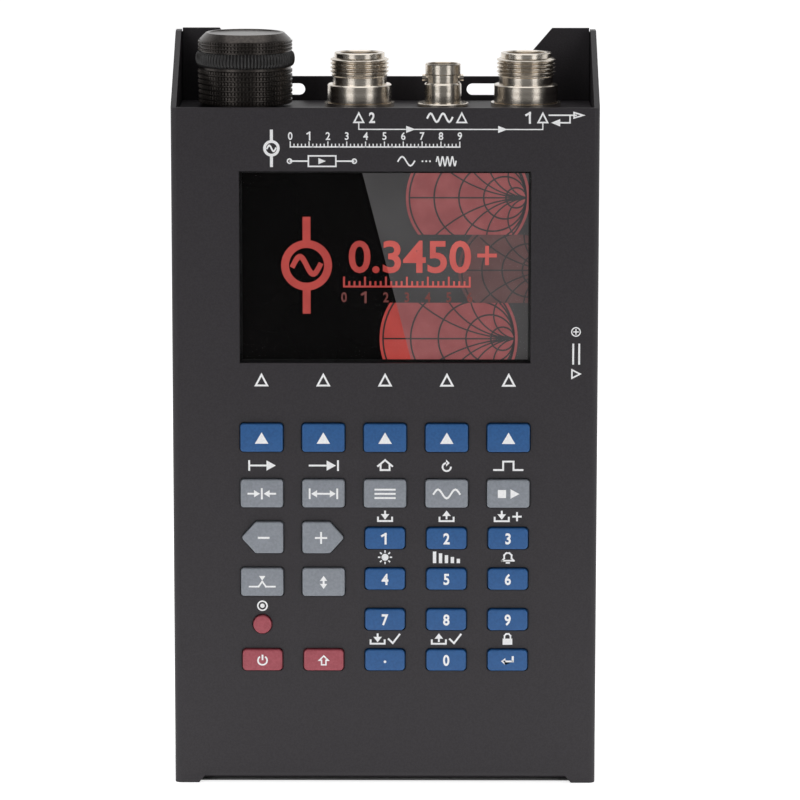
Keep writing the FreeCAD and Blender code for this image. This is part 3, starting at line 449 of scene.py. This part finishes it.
# Ports' marks along the top edge: each port's pointer and number, and the signal's way from
# the second port to the first.
TO_PORT_2, TO_BAYONET, TO_PORT_1 = -7.0, 20.3, 41.8
POINTER_LEVEL, NUMBER_LEVEL, WAY_LEVEL = 181.5, 181.4, 178.3
for x in (TO_PORT_2, TO_BAYONET, TO_PORT_1):
    arrow_tip(face_print, (x, POINTER_LEVEL), UP, 3.2, 3.1, 0.42)
draw(face_print, (-3.5, NUMBER_LEVEL), [("2", (0, 0), 2.9, 0.85, 0.03)])
draw(face_print, (38.2, NUMBER_LEVEL), ONE)
draw(face_print, (14.5, NUMBER_LEVEL), [("line", wave(6.6, 2.2, 2))])
WAY_END = 179.8
stroke(face_print, [
    (TO_PORT_2, WAY_END), (TO_PORT_2, WAY_LEVEL), (TO_PORT_1, WAY_LEVEL), (TO_PORT_1, WAY_END)
], 0.3)
for x in (6.8, 31.2):
    arrow_tip(face_print, (x, WAY_LEVEL), RIGHT, 1.9, 2.5)
reflected = [
    ("line", [(-4.9, 1.1), (2.2, 1.1)], 0.4),
    ("tip", (3.1, 1.1), RIGHT, 2.0, 3.3, 0.4),
    ("line", [(0.6, 0.9), (0.6, -0.9), (-2.2, -0.9)], 0.4),
    ("tip", (-3.2, -0.9), LEFT, 2.0, 2.4),
]
draw(face_print, (48.4, 181.0), reflected)

# Heading: a signal source's sign beside a plain numbered scale, in the same white ink, and
# below them a two-port box with its two ends.
SOURCE_X, SOURCE_LEVEL = -30.2, 173.2
ring(face_print, (SOURCE_X, SOURCE_LEVEL), 2.2, 0.75, 40)
draw(face_print, (SOURCE_X, SOURCE_LEVEL), [("line", wave(2.3, 1.5, 1, 16), 0.45)])
for side in (-1, 1):
    lead = [(SOURCE_X, SOURCE_LEVEL + side * reach) for reach in (2.4, 4.6)]
    stroke(face_print, lead, 0.8)
SCALE_X, SCALE_LEVEL, SCALE_LONG = -25.2, 173.6, 45
LONG_MARK, SHORT_MARK, FIGURE_LEVEL = 174.9, 174.3, 176.5
stroke(face_print, [(SCALE_X, SCALE_LEVEL), (SCALE_X + SCALE_LONG, SCALE_LEVEL)], 0.35)
for i in range(SCALE_LONG + 1):
    top = LONG_MARK if i % 5 == 0 else SHORT_MARK
    stroke(face_print, [(SCALE_X + i, SCALE_LEVEL), (SCALE_X + i, top)], 0.3)
small_one = [("line", [(-0.5, 0.6), (0.15, 1.0), (0.15, -1.0)], 0.4)]
for i in range(10):
    figure = [(str(i), (0, 0), 2.1, 0.9, 0.02)] if i != 1 else small_one
    draw(face_print, (SCALE_X + 5 * i, FIGURE_LEVEL), figure)
LOW_LINE = 169.8
stroke(face_print, [(SCALE_X, LOW_LINE), (-20.6, LOW_LINE)], 0.4)
stroke(face_print, [(-12.9, LOW_LINE), (-8.4, LOW_LINE)], 0.4)
stroke(face_print, [
    (-20.4, 171.2), (-13.1, 171.2), (-13.1, 168.4), (-20.4, 168.4), (-20.4, 171.2)
], 0.4)
for x in (-25.4, -8.2):
    ring(face_print, (x, LOW_LINE), 0.75, 0.35, 24)
arrow_tip(face_print, (-16.75, LOW_LINE), RIGHT, 1.7, 2.0)

# Range marks: a slow wave, three dots and a fast wave, for the band of frequencies that the
# instrument covers, in the same white ink.
draw(face_print, (5.6, LOW_LINE), [("line", wave(4.4, 2.4, 1), 0.4)])
for i in range(3):
    ring(face_print, (9.9 + 1.0 * i, LOW_LINE), 0.26, 0.5, 16)
draw(face_print, (16.2, LOW_LINE), [("line", wave(5.2, 2.4, 4, 10), 0.36)])

# Supply marks down the right-hand side: a plus sign in a ring, the sign of direct current and
# a pointer to the jack. They close the face's print, which is one film of ink.
positive = [
    ("ring", (0, 0), 1.3, 0.3),
    ("line", [(-0.6, 0), (0.6, 0)], 0.3),
    ("line", [(0, -0.6), (0, 0.6)], 0.3),
]
draw(face_print, (51.0, 124.0), positive)
stroke(face_print, [(51.9, 120.6), (51.9, 115.4)], 0.5)
for i in range(3):
    stroke(face_print, [(50.3, 120.6 - 1.9 * i), (50.3, 119.2 - 1.9 * i)], 0.5)
arrow_tip(face_print, (51.2, 112.6), RIGHT, 2.9, 2.8, 0.4)
print_on(face_print, "face_print", face)


# Screen: a liquid-crystal panel in a black frame behind a clear hard-coated plate. It shows a
# dark start page with charts, and a painted reflection, a lighter glowing band, lies over its
# right-hand side.
screen_finish = add_finish("screen_black", 0.25, Specular_IOR_Level=0.05)
screen_cloud = grain(screen_finish, 30 * MM)
tint(screen_finish, screen_cloud, (0.0012, 0.0010, 0.0010), (0.0018, 0.0014, 0.0014))
dress(screen_finish, "display_panel")
frame_finish = add_finish("display_frame_black", 0.5)
tint(frame_finish, grain(frame_finish, 0.5 * MM), (0.006, 0.006, 0.0065), (0.009, 0.009, 0.0095))
dress(frame_finish, "display_frame")
plate_finish = add_finish("clear_plate", 0.12, IOR=1.49, Alpha=0.04, Specular_IOR_Level=0.12)
tint(plate_finish, grain(plate_finish, 20 * MM), (0.02, 0.02, 0.02), (0.03, 0.03, 0.03))
dress(plate_finish, "display_window")

view_low, view_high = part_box("display_panel")
view_x = (view_low.x + view_high.x) / 2 / MM
view_z = (view_low.z + view_high.z) / 2 / MM
screen_y = view_low.y
VIEW_WIDE, VIEW_TALL = 76.4, 50.2


def picture_finish(name, dark, light, size):
    """Faint, uneven glow on the screen: lit picture cells, and the painted glare over them."""
    finish = add_finish(name, 0.5, Emission_Strength=1.0)
    tint(finish, grain(finish, size), (0.002, 0.002, 0.002), (0.003, 0.003, 0.003))
    tint(finish, grain(finish, size), dark, light, socket="Emission Color")
    return finish


def trim(shape, at, outward):
    """Cuts away what lies beyond a line of the screen, and closes the cut."""
    cut = bmesh.ops.bisect_plane(shape, geom=shape.verts[:] + shape.edges[:] + shape.faces[:],
                                 plane_co=at, plane_no=outward, clear_outer=True)
    open_edges = [part for part in cut["geom_cut"] if isinstance(part, bmesh.types.BMEdge)]
    bmesh.ops.holes_fill(shape, edges=open_edges)


# Painted reflection: beyond this slanting line the screen is covered by a lighter glare.
SLANT_AT, SLANT = (0.4, 0, 0), Vector((-VIEW_TALL, -13.0, 0))


def trim_to_view(shape, in_glare=True):
    """Keeps what lies inside the frame's opening, under the painted glare or clear of it."""
    trim(shape, SLANT_AT, SLANT if in_glare else -SLANT)
    for across, along in ((1, 0), (-1, 0), (0, 1), (0, -1)):
        trim(shape, (across * VIEW_WIDE / 2, along * VIEW_TALL / 2, 0), (across, along, 0))


def show(shape, name, finish, layer=0):
    """Lays a drawing on the screen, each layer just in front of the last."""
    bmesh.ops.translate(shape, verts=shape.verts, vec=(view_x, view_z, 0))
    print_on(shape, name, screen_y - layer * 3 * INK_SUNK * MM, "root", finish)


def chart_disc(shape, x, z, radius):
    """The filled disc of a round impedance chart."""
    ring(shape, (x, z), radius, radius, 90)


def chart_lines(shape, x, z, radius):
    """The chart's circles through one point, and the arcs that cross them."""
    ring(shape, (x, z), radius - 0.7, 0.45, 72)
    for part in (0.8, 0.6, 0.4, 0.22):
        ring(shape, (x + radius * (1 - part), z), radius * part - 0.7, 0.45, 60)
    stroke(shape, [(x - radius + 1, z), (x + radius - 1, z)], 0.4)
    for reach in (0.35, 0.7, 1.2, 2.2):
        for side in (-1, 1):
            points = []
            for i in range(97):
                angle = 2 * math.pi * i / 96 + side * math.pi / 2
                spot = Vector((1 + reach * math.cos(angle), side * reach + reach * math.sin(angle)))
                if spot.length < 0.95:
                    points.append((x + radius * spot.x, z + radius * spot.y))
            stroke(shape, points, 0.4)


TOP_CHART, LOW_CHART, SIDE_CHART = (22.0, 18.5, 16.5), (17.0, -19.5, 18.5), (33.0, -1.0, 13.5)
BAND_TOP, BAND_LOW = 8.6, -9.8
# Painted reflection: the charcoal glow is the glare itself, and coral, dim coral and pale red are
# red seen under it, washed and lighter. Red, dim red and the black line are the screen's own.
glare_tone = picture_finish("screen_glare_tone", (0.040, 0.038, 0.039), (0.052, 0.050, 0.051), 12 * MM)
coral_under_glare = picture_finish("screen_coral_under_glare", (0.245, 0.066, 0.068), (0.295, 0.084, 0.085), 5 * MM)
dim_coral_under_glare = picture_finish("screen_dim_coral_under_glare", (0.098, 0.050, 0.050), (0.118, 0.062, 0.060), 5 * MM)
red = picture_finish("screen_red", (0.37, 0.036, 0.029), (0.43, 0.045, 0.036), 5 * MM)
red_under_glare = picture_finish("screen_red_under_glare", (0.50, 0.085, 0.075), (0.57, 0.105, 0.090), 5 * MM)
dim_red = picture_finish("screen_dim_red", (0.135, 0.030, 0.026), (0.16, 0.038, 0.032), 5 * MM)
black_line = picture_finish("screen_line", (0.001, 0.001, 0.001), (0.0015, 0.0012, 0.0012), 5 * MM)

# Painted reflection: a faintly glowing grey sheet over the screen beyond the slant stands for glare
# on the plate.
painted_glare = bmesh.new()
glare_size = Matrix.Diagonal((VIEW_WIDE, VIEW_TALL, INK_THICK, 1))
bmesh.ops.create_cube(painted_glare, size=1, matrix=glare_size)
trim_to_view(painted_glare)
show(painted_glare, "screen_painted_glare", glare_tone)
# Painted reflection: the screen's black lines as seen under the glare, drawn grey.
line_under_glare = picture_finish(
    "screen_line_under_glare", (0.036, 0.034, 0.035), (0.044, 0.042, 0.043), 5 * MM
)


def show_charts(name, charts, ends, in_glare, disc_finish, line_finish, layer):
    """Shows charts on one side of the slant, kept between two heights of the screen."""
    discs, lines = bmesh.new(), bmesh.new()
    for spot in charts:
        chart_disc(discs, *spot)
        chart_lines(lines, *spot)
    for shape in (discs, lines):
        trim(shape, (0, ends[0], 0), (0, -1, 0))
        trim(shape, (0, ends[1], 0), (0, 1, 0))
        trim_to_view(shape, in_glare)
    show(discs, name + "_discs", disc_finish, layer)
    show(lines, name + "_lines", line_finish, layer + 1)


TOP, LOW = VIEW_TALL / 2, -VIEW_TALL / 2
# Charts beyond the slant take the washed colours of the painted glare; the dark side keeps plain
# red and black.
show_charts("screen_top", [TOP_CHART], (BAND_TOP, TOP), True, coral_under_glare, line_under_glare, 1)
show_charts("screen_low", [LOW_CHART], (LOW, BAND_LOW), True, coral_under_glare, line_under_glare, 1)
show_charts("screen_low_dark", [LOW_CHART], (LOW, BAND_LOW), False, red, black_line, 1)
show_charts("screen_band", [SIDE_CHART], (BAND_LOW, BAND_TOP), True, dim_coral_under_glare, line_under_glare, 1)


def source_symbol(shape, x, z, radius, lead, wide):
    """The sign of a signal source: a wave in a ring, with a lead above and below."""
    ring(shape, (x, z), radius, wide, 60)
    draw(shape, (x, z), [("line", wave(radius * 1.05, radius * 0.66, 1, 24), wide * 0.65)])
    for side in (-1, 1):
        stroke(shape, [(x, z + side * (radius + wide / 4)), (x, z + side * (radius + lead))], wide)


METER_X, METER_STEP = -11.0, 1.4
# The readings are drawn twice: beyond the slant in pale red, a painted glare copy, and before it in
# red.
for in_glare, finish in ((True, red_under_glare), (False, red)):
    readings = bmesh.new()
    source_symbol(readings, -21.0, 0.3, 6.8, 5.2, 2.1)
    sign(readings, "0.3450", (6.6, 2.6), 8.8, 1.02, 0.02)
    stroke(readings, [(25.1, 3.0), (29.3, 3.0)], 1.0)
    stroke(readings, [(27.2, 0.9), (27.2, 5.1)], 1.0)
    stroke(readings, [(METER_X, -5.4), (22.6, -5.4)], 0.5)
    for i in range(25):
        x, top = METER_X + METER_STEP * i, -3.0 if i % 4 == 0 else -4.2
        stroke(readings, [(x, -5.2), (x, top)], 0.5)
    trim_to_view(readings, in_glare)
    show(readings, "screen_readings_" + ("in_glare" if in_glare else "dark"), finish, 6)
figures = bmesh.new()
for i in range(7):
    figure = [(str(i), (0, 0), 2.7, 0.85, 0.02)] if i != 1 else ONE
    draw(figures, (METER_X + 5.6 * i, -8.3), figure)
show(figures, "screen_figures", dim_red, 6)


# Keys: moulded caps in satin blue, grey and red plastic, each standing through its own hole
# and on its own switch behind the front. Their signs are printed on the caps.
def key_finish(name, dark, light):
    """Satin moulded plastic with a faint moulding grain."""
    finish = add_finish(name, 0.42)
    tint(finish, grain(finish, 0.6 * MM, 1.0), dark, light)
    relief(finish, grain(finish, 0.15 * MM, 1.0), 0.004 * MM)
    return finish


BOLD = 0.03
stop_or_run = [("\u25a0", (-1.7, 0), 2.2), ("tip", (1.8, 0), RIGHT, 2.6, 2.4)]
centre_here = [
    ("line", [(0, -1.3), (0, 1.3)]),
    ("line", [(-3.6, 0), (-1.6, 0)]),
    ("tip", (-1.3, 0), RIGHT, 2.0, 1.6),
    ("line", [(3.6, 0), (1.6, 0)]),
    ("tip", (1.3, 0), LEFT, 2.0, 1.6),
]
spread = [
    ("line", [(-3.7, -1.2), (-3.7, 1.2)]),
    ("line", [(3.7, -1.2), (3.7, 1.2)]),
    ("line", [(-2, 0), (2, 0)]),
    ("tip", (-2.5, 0), LEFT, 2.0, 1.6),
    ("tip", (2.5, 0), RIGHT, 2.0, 1.6),
]
peak = [
    ("line", [(-3.4, -1.2), (-1, -1.2), (0, 0.2), (1, -1.2), (3.4, -1.2)], 0.45),
    ("tip", (0, 1.1), DOWN, 1.7, 1.3),
]
up_and_down = [
    ("line", [(0, -0.6), (0, 0.6)], 0.5),
    ("tip", (0, 1.1), UP, 2.0, 1.4),
    ("tip", (0, -1.1), DOWN, 2.0, 1.4),
]
LEGENDS = {f"soft_key_{i}": [("tip", (0, 0), UP, 3.6, 3.1)] for i in range(1, 6)}
LEGENDS |= {
    "function_key_1": centre_here,
    "function_key_2": spread,
    "function_key_3": [("line", [(-2.6, b), (2.6, b)], 0.5) for b in (-1.15, 0, 1.15)],
    "function_key_4": [("line", wave(7.0, 2.4, 1.5), 0.5)],
    "function_key_5": stop_or_run,
    "decrease_key": [("line", [(-0.9, 0), (1.7, 0)], 0.55)],
    "increase_key": [
        ("line", [(-2.0, 0), (0.8, 0)], 0.5),
        ("line", [(-0.6, -1.4), (-0.6, 1.4)], 0.5),
    ],
    "marker_key": peak,
    "sweep_key": up_and_down,
    "power_key": [("\u23fb", (0, 0), 3.0, 1.0, 0.02)],
    "shift_key": [("\u21e7", (0, 0), 2.9, 1.0, 0.02)],
    "enter_key": [("\u21b5", (0, 0), 2.4, 1.2, 0.03)],
    "key_point": [("ring", (0, -0.4), 0.36, 1)],
    "key_zero": [("0", (0, 0), 3.1, 0.85, BOLD)],
}
DIGITS = "one two three four five six seven eight nine".split()
for number, word in enumerate(DIGITS, start=1):
    LEGENDS["key_" + word] = [(str(number), (0, 0), 3.1, 0.85, BOLD)] if number > 1 else ONE

BLUE = ["key_point", "key_zero", "enter_key"]
BLUE += ["key_" + word for word in DIGITS] + [f"soft_key_{i}" for i in range(1, 6)]
GREY = [f"function_key_{i}" for i in range(1, 6)]
GREY += ["decrease_key", "increase_key", "marker_key", "sweep_key"]
RED = ["round_key", "power_key", "shift_key"]
dress(key_finish("blue_plastic", (0.009, 0.080, 0.245), (0.013, 0.096, 0.285)), *BLUE)
dress(key_finish("grey_plastic", (0.22, 0.238, 0.268), (0.255, 0.275, 0.31)), *GREY)
dress(key_finish("red_plastic", (0.325, 0.055, 0.075), (0.375, 0.072, 0.095)), *RED)
for key, marks in LEGENDS.items():
    low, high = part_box(key)
    legend = bmesh.new()
    draw(legend, ((low.x + high.x) / 2 / MM, (low.z + high.z) / 2 / MM), marks)
    print_on(legend, key + "_legend", low.y, key)


# Coaxial ports: turned from brass and nickel-plated, with a fine thread for the plug's nut, a
# pilot above it and a deep bore. A nut below the panel holds each one.
def turn_profile(shape, profile, steps=96):
    """Turns a closed profile of radii and heights once round the upright axis."""
    corners = [shape.verts.new((radius, 0, height)) for radius, height in profile]
    outline = [shape.edges.new(pair) for pair in zip(corners, corners[1:] + corners[:1])]
    bmesh.ops.spin(
        shape, geom=corners + outline, cent=(0, 0, 0), axis=(0, 0, 1), dvec=(0, 0, 0),
        angle=2 * math.pi, steps=steps, use_merge=True, use_duplicate=False,
    )
    bmesh.ops.remove_doubles(shape, verts=shape.verts, dist=1e-4)
    bmesh.ops.recalc_face_normals(shape, faces=shape.faces)


def stand_on_panel(shape, x, y):
    """Moves a turned shape from its own axis to its place on the connector panel."""
    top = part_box("connector_panel")[1].z
    place = Matrix.Translation((x, y, top)) @ Matrix.Diagonal((MM, MM, MM, 1))
    bmesh.ops.transform(shape, matrix=place, verts=shape.verts)


def axis_of(node):
    """The upright axis of a frame node."""
    low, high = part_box(node)
    return (low.x + high.x) / 2, (low.y + high.y) / 2


def metal_finish(name, dark, light, roughness, size=1.0):
    """Plated metal with the fine rings that the lathe leaves."""
    finish = add_finish(name, roughness, 1.0)
    tint(finish, grain(finish, size * MM, 1.0, (0.02, 0.02, 1)), dark, light)
    relief(finish, grain(finish, size * MM, 1.0, (0.02, 0.02, 8)), 0.002 * MM)
    return finish


nickel = metal_finish("turned_nickel", (0.62, 0.565, 0.495), (0.73, 0.67, 0.59), 0.23)
THREAD_LOW, THREAD_HIGH, PITCH = 8.85, 13.1, 1.058
ROOT, CREST = 7.25, 7.9375
thread = []
turn_count = int((THREAD_HIGH - THREAD_LOW) / PITCH)
for i in range(turn_count):
    foot = THREAD_LOW + 0.05 + i * PITCH
    thread += [(ROOT, foot), (CREST, foot + 0.38), (CREST, foot + 0.58), (ROOT, foot + 0.96)]
port_profile = [
    (3.53, -13), (7.4, -13), (7.8, -12.6), (7.8, 1.1), (8.4, 1.1), (8.6, 1.3), (8.6, 5.7),
    (8.3, 6.0), (ROOT, 6.0), (ROOT, 8.0), (7.6, 8.35), (7.6, 8.5), (ROOT, 8.8), *thread,
    (6.8, 13.15), (6.8, 14.3), (6.6, 14.5), (5.6, 14.5), (5.3, 14.2), (5.3, 13.2), (4.2, 12.4),
    (4.2, 5.0), (3.53, 5.0),
]
for node in ("port_1", "port_2"):
    shell = bmesh.new()
    turn_profile(shell, port_profile)
    stand_on_panel(shell, *axis_of(node))
    piece = keep(shell, node + "_shell", nickel)
    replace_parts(piece, node)

# Bayonet connector: turned and plated like the ports, with two lugs pressed into its barrel
# for the plug's slots. The nuts and washers of all three are of the same metal.
bayonet_profile = [
    (3.03, -11), (4.45, -11), (4.75, -10.7), (4.75, 0), (6.7, 0), (6.9, 0.2), (6.9, 0.8),
    (6.7, 1.0), (4.95, 1.0), (4.95, 5.9), (4.7, 6.2), (4.5, 6.4), (4.5, 8.5), (4.8, 8.75),
    (4.8, 11.2), (4.6, 11.5),
    (4.25, 11.5), (4.05, 11.3), (4.05, 3.0), (3.03, 3.0),
]
shell = bmesh.new()
turn_profile(shell, bayonet_profile)
LUG_OUT, LUG_LEVEL, LUG_RADIUS, LUG_LONG = 4.85, 7.65, 0.95, 1.4
for side in (-1, 1):
    sideways = Matrix.Rotation(math.radians(90), 4, "Y")
    place = Matrix.Translation((side * LUG_OUT, 0, LUG_LEVEL)) @ sideways
    bmesh.ops.create_cone(
        shell, cap_ends=True, segments=24, radius1=LUG_RADIUS, radius2=LUG_RADIUS,
        depth=LUG_LONG, matrix=place,
    )
stand_on_panel(shell, *axis_of("bayonet_connector"))
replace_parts(keep(shell, "bayonet_shell", nickel), "bayonet_connector")
dress(nickel, "connector_nuts", "connector_washers")

# Beads and contacts: a white insulator in each connector carries its gilt centre contact.
# Both are pushed in from behind and stay there by their own fit.
white_bead = add_finish("white_bead", 0.45)
tint(white_bead, grain(white_bead, 0.5 * MM), (0.80, 0.80, 0.77), (0.88, 0.88, 0.86))
dress(white_bead, "connector_insulators")
gilt = metal_finish("gilt", (0.75, 0.52, 0.22), (0.85, 0.62, 0.30), 0.25, 0.3)
dress(gilt, "connector_contacts")


# Rear screws: six black socket-head screws with low round heads, through the rear plate into
# the folds and side brackets.
def seat_on_back(shape, x, y, z):
    """Lays a turned shape down, pointing backwards, at its place on the rear plate."""
    backwards = Matrix.Rotation(math.radians(-90), 4, "X")
    place = Matrix.Translation((x * MM, y, z * MM)) @ Matrix.Diagonal((MM, MM, MM, 1)) @ backwards
    bmesh.ops.transform(shape, matrix=place, verts=shape.verts)


black_oxide = add_finish("black_oxide", 0.3, 0.6)
tint(black_oxide, grain(black_oxide, 0.4 * MM), (0.022, 0.021, 0.021), (0.036, 0.035, 0.034))
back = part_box("back_cover")[1].y
SOCKET_RADIUS, SOCKET_FLAT = 1.3, 1.08
screw_profile = [
    (0.001, -6), (1.2, -6), (1.45, -5.7), (1.45, 0), (2.8, 0), (2.8, 0.9), (2.55, 1.45),
    (2.1, 1.75), (1.75, 1.8), (SOCKET_RADIUS, 1.65), (SOCKET_RADIUS, 0.7), (0.001, 0.7),
]
screws = bmesh.new()
SCREW_PLACES = [(side * 40, level) for level in (7.2, 176.2) for side in (-1, 1)]
SCREW_PLACES += [(-50.5, 96), (50.5, 96)]
for x, z in SCREW_PLACES:
    screw = bmesh.new()
    turn_profile(screw, screw_profile, 48)
    for corner in screw.verts:
        reach = math.hypot(corner.co.x, corner.co.y)
        if abs(reach - SOCKET_RADIUS) < 0.01:
            facet = math.atan2(corner.co.y, corner.co.x) % math.radians(60) - math.radians(30)
            flat = SOCKET_FLAT / math.cos(facet)
            corner.co.x *= flat / reach
            corner.co.y *= flat / reach
    seat_on_back(screw, x, back, z)
    made = bpy.data.meshes.new("screw")
    screw.to_mesh(made)
    screw.free()
    screws.from_mesh(made)
    bpy.data.meshes.remove(made)
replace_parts(keep(screws, "socket_screws", black_oxide), "back_screws")


# Rubber feet: four discs moulded in black rubber on the rear plate. Each has a screw deep in
# its middle, which holds it to the plate.
foot_rubber = add_finish("foot_rubber", 0.75)
tint(foot_rubber, grain(foot_rubber, 0.4 * MM), (0.009, 0.009, 0.009), (0.015, 0.015, 0.015))
relief(foot_rubber, grain(foot_rubber, 0.25 * MM), 0.02 * MM)
foot_profile = [
    (0.001, 0), (6, 0), (6, 2.3), (5.8, 2.8), (5.3, 3.0), (3.0, 3.0), (2.7, 2.7), (2.5, 1.0),
    (0.001, 1.0),
]
head_profile = [
    (0.001, 1.0), (2.1, 1.0), (2.0, 1.5), (1.5, 1.8), (0.7, 1.9), (0.65, 1.4), (0.001, 1.4)
]
feet = bmesh.new()
foot_screws = bmesh.new()
FOOT_X, FOOT_LEVELS = 46, (26, 160)
for x in (-FOOT_X, FOOT_X):
    for z in FOOT_LEVELS:
        for profile, whole in ((foot_profile, feet), (head_profile, foot_screws)):
            turned = bmesh.new()
            turn_profile(turned, profile, 64)
            seat_on_back(turned, x, back, z)
            made = bpy.data.meshes.new("foot")
            turned.to_mesh(made)
            turned.free()
            whole.from_mesh(made)
            bpy.data.meshes.remove(made)
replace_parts(keep(feet, "moulded_feet", foot_rubber), "rubber_feet")
keep(foot_screws, "foot_screws", black_oxide)


# Tuning knob: turned aluminium, knurled in small square studs and black anodised, with a
# smooth chamfered top edge and a shallow dish. It sits on the encoder's shaft.
anodised = add_finish("black_anodised", 0.28, 0.85)
tint(anodised, grain(anodised, 0.6 * MM), (0.048, 0.042, 0.039), (0.075, 0.066, 0.060))
KNURL_DEEP, KNURL_ROUND = 0.42, 84
STUD_FROM, STUD_WIDE, STUD_GAP = 12.26, 0.86, 0.2
LOW_PITCH, HIGH_PITCH, LOW_ROWS, HIGH_ROWS = 1.33, 0.95, 7, 3
knob_profile = [
    (9.0, 0.9), (12.3, 0.9), (12.28, 10.75), (11.9, 10.75), (11.9, 14.85), (12.28, 14.85),
    (12.3, 18.0), (12.0, 18.35), (10.5, 19.8), (9.7, 19.8), (9.5, 19.55), (8.0, 19.35),
    (0.001, 19.3), (0.001, 15.8), (3.03, 15.8), (3.03, 6.5), (9.0, 6.5),
]
knob = bmesh.new()
turn_profile(knob, knob_profile, 168)
knob_x, knob_y = axis_of("tuning_knob")
rows = [(1.6 + LOW_PITCH * i, LOW_PITCH) for i in range(LOW_ROWS)]
rows += [(15.5 + HIGH_PITCH * i, HIGH_PITCH) for i in range(HIGH_ROWS)]
for level, tall in rows:
    stud = bmesh.ops.create_cube(knob, size=1)["verts"]
    for corner in stud:
        across, high = (0.5, 0.6) if corner.co.x > 0 else (1.0, 1.0)
        corner.co = Vector((
            STUD_FROM + KNURL_DEEP * (corner.co.x + 0.5),
            corner.co.y * STUD_WIDE * across,
            level + corner.co.z * (tall - STUD_GAP) * high,
        ))
    faces = list({face for corner in stud for face in corner.link_faces})
    bmesh.ops.spin(
        knob, geom=faces, cent=(0, 0, 0), axis=(0, 0, 1), dvec=(0, 0, 0),
        angle=2 * math.pi * (1 - 1 / KNURL_ROUND), steps=KNURL_ROUND - 1,
        use_merge=False, use_duplicate=True,
    )
stand_on_panel(knob, knob_x, knob_y)
piece = keep(knob, "knob_body", anodised, "knob")
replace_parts(piece, "tuning_knob")

# Grip ring: a ring of black rubber with upright ribs, stretched into the groove near the
# knob's top, and turning with it.
ribbed_rubber = add_finish("ribbed_ring", 0.38)
tint(ribbed_rubber, grain(ribbed_rubber, 0.5 * MM), (0.014, 0.013, 0.013), (0.020, 0.019, 0.019))
RIBS, RIB_DEEP, RIBS_FROM = 86, 0.42, 12.5
ring_profile = [
    (11.93, 10.85), (12.6, 10.85), (13.0, 11.2), (13.25, 11.8), (13.35, 12.5), (13.35, 13.1),
    (13.25, 13.8), (13.0, 14.4), (12.6, 14.75), (11.93, 14.75),
]
grip = bmesh.new()
turn_profile(grip, ring_profile, RIBS * 6)
for corner in grip.verts:
    reach = math.hypot(corner.co.x, corner.co.y)
    if reach > RIBS_FROM:
        angle = math.atan2(corner.co.y, corner.co.x)
        dip = RIB_DEEP * (1 - abs(math.cos(RIBS * angle / 2)))
        corner.co.x *= (reach - dip) / reach
        corner.co.y *= (reach - dip) / reach
stand_on_panel(grip, knob_x, knob_y)
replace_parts(keep(grip, "ribbed_ring", ribbed_rubber, "knob"), "knob_grip_ring")


# Inside: green boards, tinned cans, zinc-plated brackets and posts, black mouldings and the
# wrapped cells. They are screwed or soldered in place, and the case hides them.
def plain_finish(name, dark, light, roughness, metallic, *names):
    """One lightly clouded finish for unseen parts."""
    finish = add_finish(name, roughness, metallic)
    tint(finish, grain(finish, 1.5 * MM), dark, light)
    dress(finish, *names)


plain_finish(
    "solder_mask", (0.01, 0.08, 0.03), (0.02, 0.11, 0.045), 0.35, 0,
    "keypad_board", "main_board",
)
plain_finish(
    "zinc_plate", (0.5, 0.5, 0.51), (0.62, 0.62, 0.63), 0.35, 1,
    "side_brackets", "board_standoffs", "encoder_nut", "encoder_shaft",
)
plain_finish(
    "tinned_plate", (0.6, 0.6, 0.59), (0.7, 0.7, 0.69), 0.3, 1,
    "rf_shields", "encoder_body",
)
plain_finish(
    "black_moulding", (0.014, 0.014, 0.015), (0.022, 0.022, 0.023), 0.5, 0,
    "key_switches", "buzzer", "power_jack", "battery_holder",
)
plain_finish(
    "cell_wrap", (0.02, 0.14, 0.32), (0.03, 0.17, 0.38), 0.35, 0,
    "battery_cells",
)
